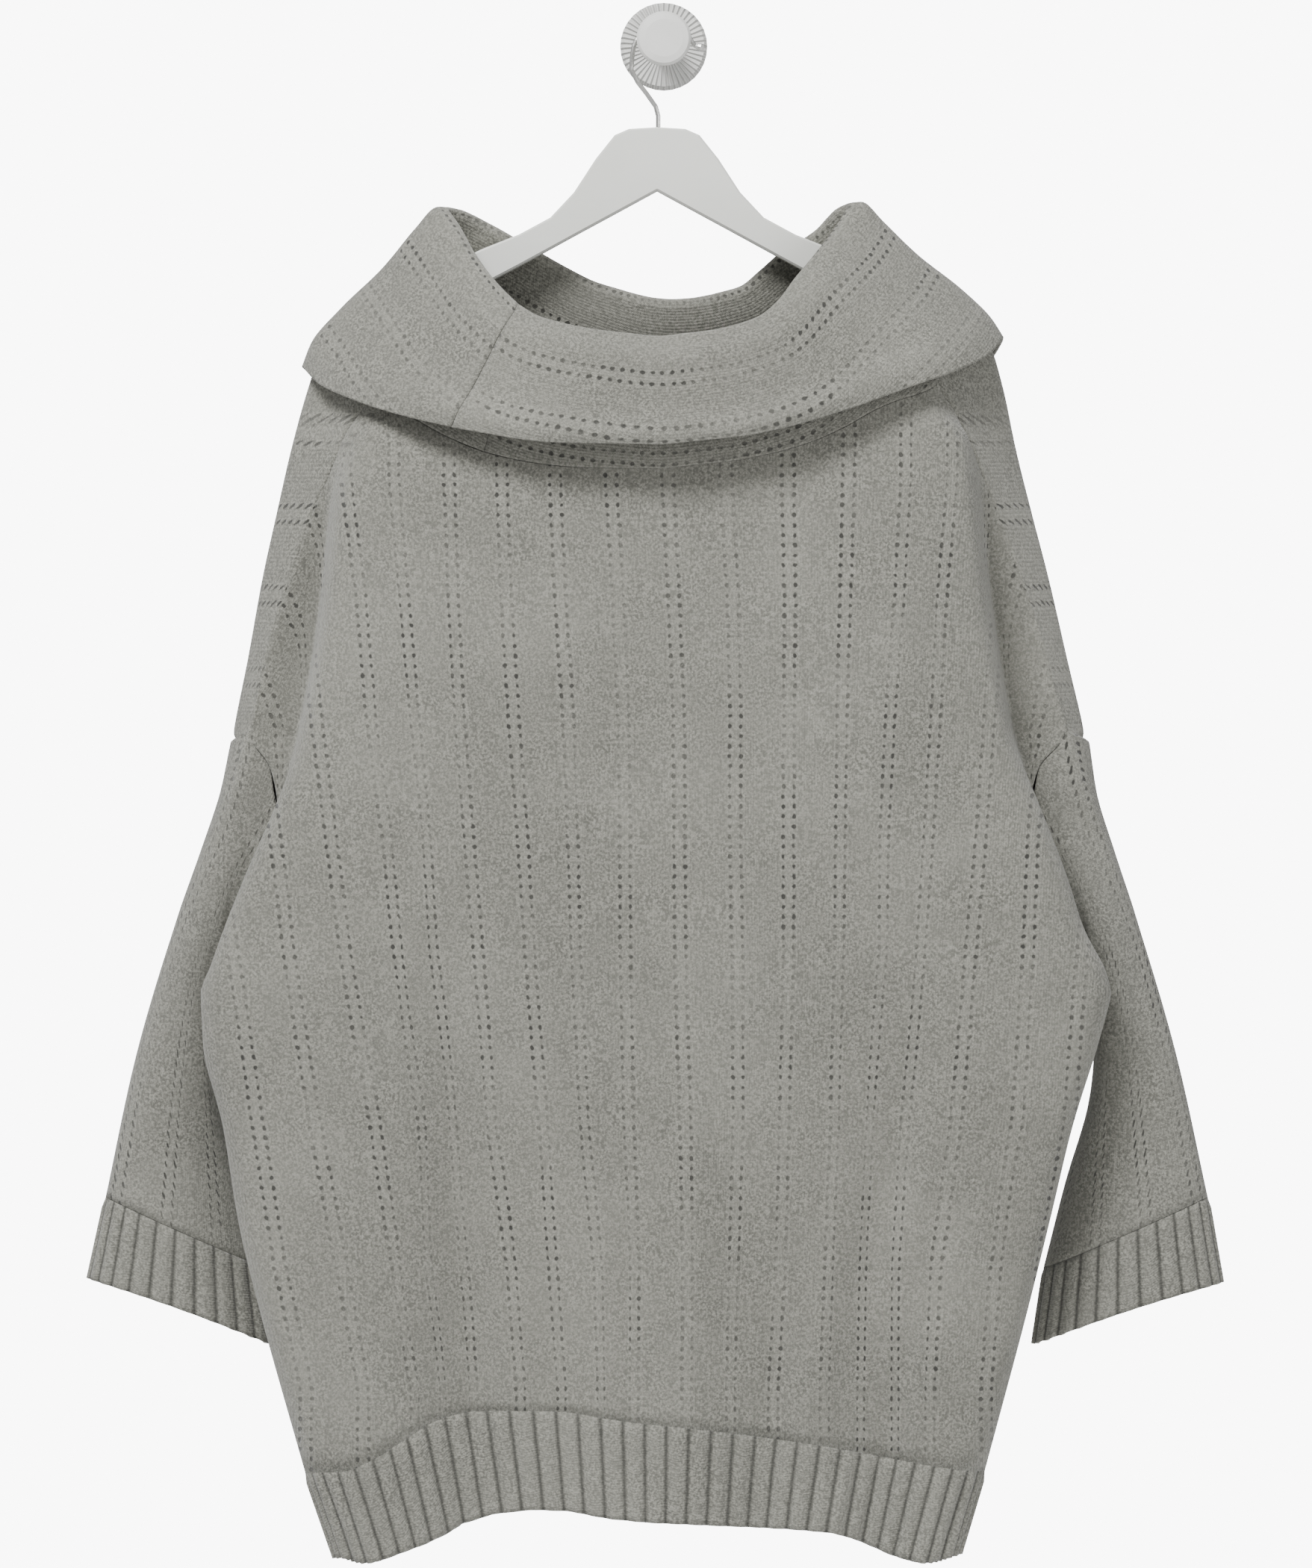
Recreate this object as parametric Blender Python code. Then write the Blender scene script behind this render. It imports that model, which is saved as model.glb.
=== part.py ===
"""Oversized knit sweater with a fold-over cowl collar, on its hanger over a wall knob.

Metres, +Z up. The origin is the middle of the knob's back face, on the wall at y = 0, and the
garment hangs in front of it, towards -Y. Left and right are as seen from the front.
The tables give a place as it is seen from the front: across and drop in millimetres in the plane
of the hanger, and depth, the true y in millimetres. The function place() turns them into metres.
"""
import math

import bmesh
import bpy
import numpy as np

for thing in list(bpy.data.objects):
    bpy.data.objects.remove(thing, do_unlink=True)

MM = 0.001

# Where the front is seen from, in millimetres
EYE_ACROSS = -5.0
EYE_DROP = 472.0
EYE_AWAY = 5000.0
HANGER_DEPTH = -45.0
KNOB_RISE = 2.0

# Cloth, in millimetres
BODY_WALL = 2.6
COLLAR_WALL = 3.0
RIB_RAISE = 1.3
SEAM_GAP = 0.3

# Columns across each panel, in stretches between its folds
FRONT_EDGE = 3
FRONT_FACE = 20
FRONT_COLUMNS = FRONT_FACE + 2 * FRONT_EDGE
BACK_EDGE = 4
BACK_FACE = 22
BACK_COLUMNS = BACK_FACE + 2 * BACK_EDGE
RIBS_PER_COLUMN = 2


def table(names, rows):
    """A table as one named array for each column."""
    return dict(zip(names.split(), np.array(rows, float).T))


# The front, down the garment: its outer folds, the valleys beside them, and the face between
FRONT = table("drop fold_left fold_right fold_depth valley_left valley_right valley_depth face_depth", [
    (160, -182, 174, -96, -183, 175, -94, -106),
    (216, -177, 170, -98, -180, 172.5, -95, -110),
    (255, -201, 193.5, -96, -203.5, 195, -89, -114),
    (300, -209.6, 200, -93, -214, 204, -77, -117),
    (350, -215.5, 205.2, -91, -219, 209, -67, -119),
    (400, -222.6, 212.8, -91, -226, 216.5, -62, -120),
    (439, -231, 220.5, -90, -233, 223, -62, -120),
    (462, -237, 228.5, -91, -237, 228, -68, -119),
    (490, -248, 240, -92, -239, 228, -73, -119),
    (530, -265.5, 255.5, -92, -249, 239, -74, -118),
    (565, -279.5, 267, -91, -261, 250, -74, -117),
    (590, -288.5, 280, -91, -272, 263, -74, -116),
    (606, -294, 283.8, -90, -278, 268.5, -73, -115),
    (640, -292.4, 275, -88, -281, 264, -75, -113),
    (690, -280, 259.5, -84, -273.5, 253, -71, -110),
    (740, -272.3, 247.8, -80, -268.5, 244, -68, -107),
    (790, -260.5, 233.8, -77, -257, 230, -66, -104),
    (830, -251, 226.5, -74, -247.5, 223.5, -64, -102),
    (870, -240, 215.7, -72, -237, 213, -62, -99),
    (910, -227.8, 203.4, -70, -225, 200.5, -60, -97),
    (970, -207, 185.5, -67, -204.5, 183, -58, -93),
])

# The side edges: forward shoulder seam down to 439, armhole down to 606, and side seam
EDGE = table("drop front_left front_right front_depth back_left back_right back_depth", [
    (160, -191, 183, -55, -191, 183, -55),
    (180, -190, 182, -68, -190, 182, -68),
    (200, -185, 176, -85, -185, 176, -85),
    (216, -181.5, 174, -92, -181.5, 174, -92),
    (234, -191.4, 184, -88, -191.4, 184, -88),
    (250, -202.4, 191.5, -85, -202.4, 191.5, -85),
    (270, -210, 200, -81, -210, 200, -81),
    (292, -221, 208.8, -76, -221, 208.8, -76),
    (313, -228.1, 216.9, -73, -228.1, 216.9, -73),
    (339, -237.1, 226.2, -70, -237.1, 226.2, -70),
    (368, -246.2, 235.5, -67.5, -246.2, 235.5, -67.5),
    (394, -253.8, 243.9, -66, -253.8, 243.9, -66),
    (417, -259, 251, -65, -259, 251, -65),
    (439, -262.9, 256.5, -64, -262.9, 256.5, -64),
    (447, -261, 252, -64.5, -275.5, 270.5, -45),
    (462, -251, 239, -65, -270, 263, -33),
    (490, -246, 233, -66, -261, 250, -29),
    (530, -255, 243, -66, -260, 248, -29),
    (565, -267, 256, -65.5, -266, 254, -31),
    (590, -277, 267, -63, -274, 263, -40),
    (599, -280, 270.5, -58.5, -279, 269.5, -46),
    (606, -281, 271.5, -52, -281, 271.5, -52),
    (622, -281, 270, -56, -281, 270, -56),
    (640, -279, 263, -60, -279, 263, -60),
    (690, -268, 248.5, -64, -268, 248.5, -64),
    (740, -260, 236, -62, -260, 236, -62),
    (790, -249, 222.5, -60, -249, 222.5, -60),
    (830, -240, 216, -58, -240, 216, -58),
    (870, -230, 206, -56, -230, 206, -56),
    (910, -218, 194, -54, -218, 194, -54),
    (970, -198, 176, -52, -198, 176, -52),
])

# The back: the shoulder fold at the outline, then two lines further in, and the middle
BACK = table("drop fold_left fold_right fold_depth near_in near_depth side_in side_depth mid_depth", [
    (160, -190, 181, -52, 4, -33, 25, -29, -22),
    (165.5, -193, 184.5, -52, 4, -33, 28, -28, -22),
    (170, -199, 190.5, -52, 4, -33, 30, -28, -22),
    (176, -204.5, 196, -52, 4, -33, 34, -27, -22),
    (185, -211, 202.5, -52, 4, -33, 36, -27, -22),
    (193, -216.5, 207.5, -51, 5, -33, 40, -27, -22),
    (220, -226, 215.5, -50, 7, -33, 45, -26, -22),
    (250, -234.5, 221.5, -48, 8, -33, 45, -26, -22),
    (277, -240.5, 227.7, -48, 8, -33, 45, -26, -22),
    (334, -253.4, 242.5, -48, 8, -33, 45, -26, -22),
    (391, -263.8, 255.7, -47, 8, -32, 45, -26, -22),
    (439, -273, 266.5, -46, 10, -31, 50, -26, -23),
    (447, -269, 264, -37, 12, -30, 55, -25, -23),
    (462, -262, 255, -30.5, 14, -28, 60, -25, -23),
    (490, -253, 242, -28, 14, -27, 60, -25, -23),
    (530, -251, 239, -28, 14, -27, 60, -25, -24),
    (565, -257, 245, -29.5, 14, -28, 60, -25, -25),
    (590, -266, 255, -37, 14, -34, 60, -28, -26),
    (606, -274, 264.5, -46, 14, -40, 60, -32, -27),
    (640, -272, 256, -57, 14, -49, 60, -36, -28),
    (690, -261, 241.5, -56, 14, -48, 60, -36, -29),
    (790, -242, 215.5, -53, 14, -46, 60, -36, -30),
    (870, -223, 199, -50, 14, -44, 60, -35, -31),
    (970, -191, 169, -47, 14, -42, 60, -35, -31),
])

# Upright folds on the lower front: a positive depth is a trough, a negative one a ridge
FRONT_FOLDS = table("top_across hem_across start full spread depth", [
    (-160, -124, 330, 820, 20, 12),
    (-70, -62, 600, 900, 20, 7),
    (62, 62, 600, 880, 22, 8),
    (142, 134, 480, 860, 22, 11),
    (-198, -186, 560, 860, 20, -5),
    (12, 12, 560, 900, 26, -5),
    (97, 97, 560, 880, 16, -5),
    (184, 172, 600, 860, 14, -4),
])
BACK_FOLDS = table("top_across hem_across start full spread depth", [
    (-120, -130, 380, 860, 24, -6),
    (-30, -36, 460, 880, 22, 5),
    (66, 58, 420, 880, 26, -6),
    (140, 130, 560, 900, 20, 4),
])

# The lower edge of the panels, where the rib starts, and the rib's own lower edge
RIB_TOP_DROP = 890.0
HEM_DROP = 940.0
HEM = table("across rib_drop end_drop", [
    (-212, 911, 965),
    (-200, 908, 969),
    (-170, 893, 961),
    (-145, 879, 952),
    (-121, 872, 940),
    (-73, 872, 934.5),
    (-24, 879, 942),
    (22, 884, 944.5),
    (80, 891, 947),
    (117, 897, 951),
    (153, 903, 964),
    (175, 907, 969),
    (195, 910, 962),
])

# The collar, once round from the front middle by the left, the back and the right
COLLAR = table("turn neck_across neck_depth neck_drop fold_across fold_depth fold_drop"
               " edge_across edge_depth edge_drop", [
    (0.000, -4, -114, 271, -4, -124, 187, -4, -143, 255),
    (0.050, -50, -113.5, 270.5, -42, -122, 183, -68.6, -140, 254),
    (0.100, -97, -111, 265, -83, -116, 173, -115, -134, 248),
    (0.150, -140, -105, 250, -105, -101, 155, -165, -120, 237.5),
    (0.200, -181.5, -92, 216, -122, -82, 132.5, -203, -97, 225),
    (0.225, -190.5, -69, 184, -132, -70, 114.5, -221, -76, 216),
    (0.243, -193, -54, 166, -138, -60, 106, -230, -57, 206),
    (0.262, -191.5, -36.5, 166, -136, -52, 105.3, -229.5, -38, 207),
    (0.275, -186, -31, 172, -130, -46, 106.5, -226, -28, 210),
    (0.300, -172, -28, 186, -112, -35, 115, -203, -16, 224),
    (0.350, -130, -23.5, 208, -76, -27, 135.5, -150, -9.5, 240),
    (0.400, -85, -22, 222, -42, -23, 153, -95, -8, 246),
    (0.500, 0, -21.5, 232, 5, -21, 163.5, 0, -7.5, 249),
    (0.600, 80, -22, 220, 47, -23, 156, 90, -8, 244),
    (0.650, 122, -23.5, 205, 73, -26, 135, 140, -9.5, 236),
    (0.700, 163, -28, 182, 97, -33, 119.5, 190, -16, 218),
    (0.725, 177.5, -31, 171, 111, -47, 105.5, 211, -28, 198),
    (0.738, 183, -36.5, 166, 117, -52, 103, 215.5, -38, 190),
    (0.757, 184.5, -54, 166, 119, -60, 102.5, 216, -57, 187.5),
    (0.775, 182, -69, 184, 112, -70, 114.5, 210, -76, 196),
    (0.800, 174, -92, 216, 102, -82, 128, 191, -97, 206.5),
    (0.850, 140, -105, 231, 86, -100, 147.5, 152, -118, 220.5),
    (0.900, 97, -111, 253, 64, -115, 172.5, 104, -132, 237),
    (0.950, 48, -113.5, 265.5, 32, -122, 183, 52, -140, 249.5),
    (1.000, -4, -114, 271, -4, -124, 187, -4, -143, 255),
])
COLLAR_SWELL = table("turn sag upper trough lower", [
    (0.00, 6, 5, -1, 4),
    (0.15, 5, 4, -2, 4),
    (0.22, 5, 0, 1, 5),
    (0.25, 4, -1.5, 1.5, 6.5),
    (0.275, 0, 3, 6, 8),
    (0.35, 0, 2, 2, 3),
    (0.65, 0, 2, 2, 3),
    (0.725, 0, 3, 5, 7),
    (0.75, 4, -3, 2, 4),
    (0.78, 5, 0, 1, 4),
    (0.85, 5, 4, -2, 4),
    (1.00, 6, 5, -1, 4),
])
COLLAR_ROWS = (0.0, 0.06, 0.24, 0.36, 0.44, 0.5, 0.56, 0.64, 0.74, 0.84, 0.93, 1.0)
COLLAR_SEAM_COLUMN = 8

# The sleeves: the fold along the top and the line under the arm, from armhole to cuff
SLEEVE = table("share top_left top_right top_drop top_depth under_left under_right under_drop under_depth", [
    (0.00, -275.5, 270.5, 447, -45, -281, 271.5, 606, -52),
    (0.08, -282.5, 276.5, 470, -45, -289, 279.5, 614, -50),
    (0.20, -292.7, 286, 505, -44, -291, 281, 636, -44),
    (0.40, -310.8, 301.7, 562, -43, -283, 271.5, 678, -36),
    (0.70, -336, 326.4, 648, -42, -268, 257, 727, -26),
    (1.00, -354.6, 345.5, 735, -41, -253.7, 243.5, 780, -24),
])
# Sleeve columns on each stretch of the armhole, from the underarm up to the forward seam
SLEEVE_SPLITS = (1, 1, 2, 2, 2, 2, 1, 1)
SLEEVE_TOP_COLUMN = sum(SLEEVE_SPLITS) + 1
SLEEVE_ROWS = (0.0, 0.08, 0.2, 0.4, 0.7, 1.0)
# How far the cloth beside the armhole leaves it, outwards and up
SLEEVE_SPREAD = (15.0, 14.0)
RELAX_ROWS = 2
RELAX_PASSES = 4
SLEEVE_FRONT_SWELL = 24.0
SLEEVE_BACK_SWELL = 12.0
# The cuff's lower edge: across, drop and depth of its outer end, then of its inner end
CUFF_END = {"left": (-366, 787, -40, -245.5, 831, -22), "right": (355, 789.5, -40, 236, 829, -22)}
CUFF_HOLLOW = 3.0


def ease(knots, values, at):
    """A smooth line through the knots that never overshoots; values may differ for each point."""
    knots = np.asarray(knots, float)
    at = np.clip(np.asarray(at, float), knots[0], knots[-1])
    values = np.asarray(values, float)
    if values.ndim == 1:
        values = np.repeat(values[:, None], at.size, axis=1)
    step = np.diff(knots)[:, None]
    rise = np.diff(values, axis=0) / step
    slope = np.zeros_like(values)
    before, after = rise[:-1], rise[1:]
    same = before * after > 1e-12
    weight_a = 2 * step[1:] + step[:-1]
    weight_b = step[1:] + 2 * step[:-1]
    safe_before = np.where(same, before, 1.0)
    safe_after = np.where(same, after, 1.0)
    mean = (weight_a + weight_b) / (weight_a / safe_before + weight_b / safe_after)
    slope[1:-1] = np.where(same, mean, 0.0)
    slope[0] = rise[0]
    slope[-1] = rise[-1]
    cell = np.clip(np.searchsorted(knots, at, side="right") - 1, 0, len(knots) - 2)
    pick = np.arange(at.size)
    width = step[cell, 0]
    share = (at - knots[cell]) / width
    near = values[cell, pick]
    far = values[cell + 1, pick]
    leave = slope[cell, pick] * width
    arrive = slope[cell + 1, pick] * width
    bend = share * share * (3 - 2 * share)
    return (near + (far - near) * bend + leave * share * (1 - share) ** 2
            - arrive * share ** 2 * (1 - share))


def column(of, name, drop):
    """One column of a table, read at these drops."""
    return ease(of["drop"], of[name], drop)


def ramp(value, start, full):
    """0 before start, 1 after full, smooth between."""
    share = np.clip((value - start) / (full - start), 0, 1)
    return share * share * (3 - 2 * share)


def place(seen):
    """Places as seen (across, depth, drop) in millimetres, as true places in metres."""
    seen = np.asarray(seen, float)
    scale = (seen[..., 1] - HANGER_DEPTH + EYE_AWAY) / EYE_AWAY
    true = np.empty_like(seen)
    true[..., 0] = EYE_ACROSS + (seen[..., 0] - EYE_ACROSS) * scale
    true[..., 1] = seen[..., 1]
    true[..., 2] = -EYE_DROP + (EYE_DROP - seen[..., 2]) * scale - KNOB_RISE
    return true * MM


def folds(of, across, drop):
    """How far the upright folds move the cloth back at each place."""
    moved = np.zeros_like(across)
    for top, hem, start, full, spread, depth in zip(*of.values()):
        line = top + (hem - top) * ramp(drop, start, full)
        strength = ramp(drop, start, full)
        moved += depth * strength * np.exp(-((across - line) / spread) ** 2)
    return moved


def front_at(col, drop):
    """The front panel's middle surface, by column (0 to FRONT_COLUMNS) and drop."""
    col, drop = np.broadcast_arrays(np.asarray(col, float), np.asarray(drop, float))
    edge_left = column(EDGE, "front_left", drop)
    edge_right = column(EDGE, "front_right", drop)
    edge_depth = column(EDGE, "front_depth", drop)
    fold_left = column(FRONT, "fold_left", drop)
    fold_right = column(FRONT, "fold_right", drop)
    fold_depth = column(FRONT, "fold_depth", drop)
    valley_depth = column(FRONT, "valley_depth", drop)
    face = column(FRONT, "face_depth", drop)
    middle = (fold_left + fold_right) / 2
    width = fold_right - fold_left
    last = FRONT_COLUMNS
    knots = (0, 1.7, 3, 4, 6, last / 2, last - 6, last - 4, last - 3, last - 1.7, last)
    across = ease(knots, np.array([
        edge_left, column(FRONT, "valley_left", drop), fold_left, fold_left + 0.014 * width,
        fold_left + 0.105 * width, middle, fold_right - 0.105 * width, fold_right - 0.014 * width,
        fold_right, column(FRONT, "valley_right", drop), edge_right]), col)
    shoulder = fold_depth + 0.55 * (face - fold_depth)
    inner = fold_depth + 0.9 * (face - fold_depth)
    depth = ease(knots, np.array([
        edge_depth, valley_depth, fold_depth, shoulder, inner, face, inner, shoulder,
        fold_depth, valley_depth, edge_depth]), col)
    flat = ramp(col, 3.2, 5.5) * ramp(last - col, 3.2, 5.5)
    depth = depth + flat * folds(FRONT_FOLDS, across, drop)
    return np.stack([across, depth, drop], axis=-1)


def back_at(col, drop):
    """The back panel's middle surface, by column (0 to BACK_COLUMNS) and drop."""
    col, drop = np.broadcast_arrays(np.asarray(col, float), np.asarray(drop, float))
    fold_left = column(BACK, "fold_left", drop)
    fold_right = column(BACK, "fold_right", drop)
    near_in = column(BACK, "near_in", drop)
    side_in = column(BACK, "side_in", drop)
    fold_depth = column(BACK, "fold_depth", drop)
    near_depth = column(BACK, "near_depth", drop)
    side_depth = column(BACK, "side_depth", drop)
    mid_depth = column(BACK, "mid_depth", drop)
    edge_depth = column(EDGE, "back_depth", drop)
    last = BACK_COLUMNS
    knots = (0, 2, 4, 7, last / 2, last - 7, last - 4, last - 2, last)
    across = ease(knots, np.array([
        column(EDGE, "back_left", drop), fold_left, fold_left + near_in, fold_left + side_in,
        (fold_left + fold_right) / 2, fold_right - side_in, fold_right - near_in, fold_right,
        column(EDGE, "back_right", drop)]), col)
    depth = ease(knots, np.array([
        edge_depth, fold_depth, near_depth, side_depth, mid_depth, side_depth, near_depth,
        fold_depth, edge_depth]), col)
    flat = ramp(col, 5, 9) * ramp(last - col, 5, 9)
    depth = depth + flat * folds(BACK_FOLDS, across, drop)
    return np.stack([across, depth, drop], axis=-1)


def collar_line(kind, turn):
    """The neck seam, the fold or the lower edge of the collar, at these turns."""
    return np.stack([ease(COLLAR["turn"], COLLAR[kind + part], turn)
                     for part in ("_across", "_depth", "_drop")], axis=-1)


def collar_at(turn, along):
    """The collar's middle surface: along is 0 at the neck seam, 0.5 on the fold, 1 at the edge."""
    turn = np.asarray(turn, float) % 1.0
    neck = collar_line("neck", turn)
    fold = collar_line("fold", turn)
    edge = collar_line("edge", turn)
    step = 0.004
    ahead = collar_line("neck", (turn + step) % 1.0) + collar_line("fold", (turn + step) % 1.0)
    behind = collar_line("neck", (turn - step) % 1.0) + collar_line("fold", (turn - step) % 1.0)
    round_way = ahead - behind
    up = fold - neck
    up /= np.linalg.norm(up, axis=-1, keepdims=True)
    out = np.cross(round_way, up)
    out /= np.linalg.norm(out, axis=-1, keepdims=True)
    swell = {name: ease(COLLAR_SWELL["turn"], COLLAR_SWELL[name], turn)[..., None]
             for name in ("sag", "upper", "trough", "lower")}
    lip = fold - 6 * up + 7 * out
    fall = edge - lip
    knots = (0, 0.24, 0.42, 0.5, 0.57, 0.68, 0.80, 0.91, 1.0)
    stations = (
        neck,
        neck + 0.5 * (fold - neck) - swell["sag"] * out,
        fold - 7 * up - 4.5 * out,
        fold,
        lip,
        lip + 0.25 * fall + swell["upper"] * out,
        lip + 0.55 * fall + swell["trough"] * out,
        lip + 0.84 * fall + swell["lower"] * out,
        edge,
    )
    values = np.array(stations)
    return np.stack([ease(knots, values[..., axis], along) for axis in range(3)], axis=-1)


def normals_of(points, closed=False):
    """Unit normals of a grid of points, rows by columns."""
    if closed:
        down_col = np.roll(points, -1, axis=1) - np.roll(points, 1, axis=1)
    else:
        down_col = np.gradient(points, axis=1)
    down_row = np.gradient(points, axis=0)
    normal = np.cross(down_col, down_row)
    length = np.linalg.norm(normal, axis=-1, keepdims=True)
    return normal / np.maximum(length, 1e-12)


def inset(points, normal, edges, closed=False):
    """Move the named edges of a grid back from their seams by half the gap."""
    moved = points.copy()
    sides = {"top": (0, 0, 1), "foot": (0, -1, -2), "start": (1, 0, 1), "end": (1, -1, -2)}
    for name in edges:
        axis, edge, inner = sides[name]
        at = (edge, slice(None)) if axis == 0 else (slice(None), edge)
        to = (inner, slice(None)) if axis == 0 else (slice(None), inner)
        line = points[at]
        if closed:
            seam = np.roll(line, -1, axis=0) - np.roll(line, 1, axis=0)
        else:
            seam = np.gradient(line, axis=0)
        way = np.cross(normal[at], seam)
        way /= np.maximum(np.linalg.norm(way, axis=-1, keepdims=True), 1e-12)
        inward = np.sum(way * (points[to] - line), axis=-1, keepdims=True)
        moved[at] += np.sign(inward) * way * SEAM_GAP / 2 * MM
    return moved


def wall(name, points, normal, thickness, colour, closed=False, raised=None):
    """A closed cloth wall about a grid of middle points, in metres; raised lifts the outside."""
    half = thickness / 2 * MM
    lift = 0 if raised is None else raised[..., None] * MM
    outer = points + normal * (half + lift)
    inner = points - normal * half
    rows, cols = points.shape[:2]
    mesh = bmesh.new()
    grids = [[[mesh.verts.new(point) for point in row] for row in side] for side in (outer, inner)]
    out_grid, in_grid = grids
    span = cols if closed else cols - 1
    for row in range(rows - 1):
        for col in range(span):
            after = (col + 1) % cols
            quad = (out_grid[row][col], out_grid[row + 1][col], out_grid[row + 1][after],
                    out_grid[row][after])
            mesh.faces.new(quad)
            back = (in_grid[row][col], in_grid[row][after], in_grid[row + 1][after],
                    in_grid[row + 1][col])
            mesh.faces.new(back)
    for col in range(span):
        after = (col + 1) % cols
        mesh.faces.new((out_grid[0][col], out_grid[0][after], in_grid[0][after], in_grid[0][col]))
        mesh.faces.new((out_grid[-1][after], out_grid[-1][col], in_grid[-1][col], in_grid[-1][after]))
    if not closed:
        for row in range(rows - 1):
            mesh.faces.new((out_grid[row + 1][0], out_grid[row][0], in_grid[row][0],
                            in_grid[row + 1][0]))
            mesh.faces.new((out_grid[row][-1], out_grid[row + 1][-1], in_grid[row + 1][-1],
                            in_grid[row][-1]))
    bmesh.ops.recalc_face_normals(mesh, faces=mesh.faces)
    bmesh.ops.triangulate(mesh, faces=mesh.faces)
    return finish(name, mesh, colour)


def finish(name, mesh, colour, roughness=0.95, metallic=0.0):
    """Turn a mesh under construction into a named object with its own material."""
    data = bpy.data.meshes.new(name)
    mesh.to_mesh(data)
    mesh.free()
    part = bpy.data.objects.new(name, data)
    bpy.context.collection.objects.link(part)
    data.materials.append(material(name, colour, roughness, metallic))
    data.shade_smooth()
    data.set_sharp_from_angle(angle=math.radians(50))
    return part


def material(name, colour, roughness, metallic):
    """One plain material for one part."""
    made = bpy.data.materials.new(name)
    made.use_nodes = True
    shader = made.node_tree.nodes["Principled BSDF"]
    shader.inputs["Base Color"].default_value = (*colour, 1)
    shader.inputs["Roughness"].default_value = roughness
    shader.inputs["Metallic"].default_value = metallic
    return made


MARL = (0.36, 0.36, 0.32)
PAINTED_WHITE = (0.86, 0.86, 0.82)
WIRE_GREY = (0.62, 0.62, 0.60)

# Shares of the way from the neck seam to the first level row, and the level rows below it
NECK_SHARES = (0.0, 0.08, 0.2, 0.4, 0.7, 1.0)
LEVEL_TOP = 300.0
ARMHOLE_DROPS = (439.0, 447.0, 462.0, 490.0, 530.0, 565.0, 590.0, 599.0, 606.0)
LEVEL_DROPS = (340.0, 390.0) + ARMHOLE_DROPS + (640.0, 690.0, 750.0, 810.0)
ARMHOLE_ROW = len(NECK_SHARES) + 2
ARMHOLE_ROWS = len(ARMHOLE_DROPS)


def panel(surface, columns, turns):
    """A panel's middle points: from the neck seam, down level rows, to the rib's slanting top."""
    cols = np.arange(columns + 1, dtype=float)
    neck = collar_line("neck", turns)
    rows = []
    for share in NECK_SHARES:
        drop = neck[:, 2] + (LEVEL_TOP - neck[:, 2]) * share
        on_surface = surface(cols, drop)
        miss = neck - surface(cols, neck[:, 2])
        rows.append(on_surface + miss * (1 - share) ** 2)
    for drop in LEVEL_DROPS:
        rows.append(surface(cols, np.full(cols.size, drop)))
    across = surface(cols, np.full(cols.size, RIB_TOP_DROP))[:, 0]
    rows.append(surface(cols, ease(HEM["across"], HEM["rib_drop"], across)))
    return place(np.array(rows))


def front_turns():
    """The collar's turn at the head of each front column."""
    last = FRONT_COLUMNS
    knots = (0, 3, 6, 8, last / 2, last - 8, last - 6, last - 3, last)
    turns = (0.2, 0.187, 0.163, 0.12, 0.0, -0.12, -0.163, -0.187, -0.2)
    return ease(knots, turns, np.arange(last + 1)) % 1.0


def back_turns():
    """The collar's turn at the head of each back column; the shoulder fold sits over the arm."""
    last = BACK_COLUMNS
    knots = (0, 2, 4, 7, last / 2, last - 7, last - 4, last - 2, last)
    turns = (0.2, 0.243, 0.275, 0.31, 0.5, 0.69, 0.725, 0.757, 0.8)
    return ease(knots, turns, np.arange(last + 1))


def shared(first, second):
    """Make two arrays of seam normals the same, so that the two edges lie face to face."""
    mean = first + second
    mean /= np.linalg.norm(mean, axis=-1, keepdims=True)
    first[...] = mean
    second[...] = mean


def sleeve_loop(front, back, side):
    """The armhole's edge from the underarm, up the front, over the fold and down the back."""
    at = slice(ARMHOLE_ROW, ARMHOLE_ROW + ARMHOLE_ROWS)
    col = 0 if side == "left" else -1
    front_edge = front[at, col]
    back_edge = back[at, col]
    return split_loop(np.concatenate([front_edge[::-1], back_edge[1:-1]]))


def split_loop(corners):
    """The values at the sleeve's columns, from those at the corners of the armhole."""
    ahead = np.roll(corners, -1, axis=0)
    loop = []
    for here, there, splits in zip(corners, ahead, SLEEVE_SPLITS + SLEEVE_SPLITS[::-1]):
        for piece in range(splits):
            loop.append(here + (there - here) * piece / splits)
    return np.array(loop)


def oval(count, top_index):
    """Shares along the flat sleeve, and the swell in front and behind, for each column."""
    share = []
    swell = []
    for index in range(count):
        if index <= top_index:
            angle = math.pi * index / top_index
            share.append((1 - math.cos(angle)) / 2)
            swell.append(-SLEEVE_FRONT_SWELL * abs(math.sin(angle)) ** 0.8)
        else:
            angle = math.pi * (index - top_index) / (count - top_index)
            share.append((1 + math.cos(angle)) / 2)
            swell.append(SLEEVE_BACK_SWELL * abs(math.sin(angle)) ** 0.8)
    return np.array(share), np.array(swell)


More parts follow.
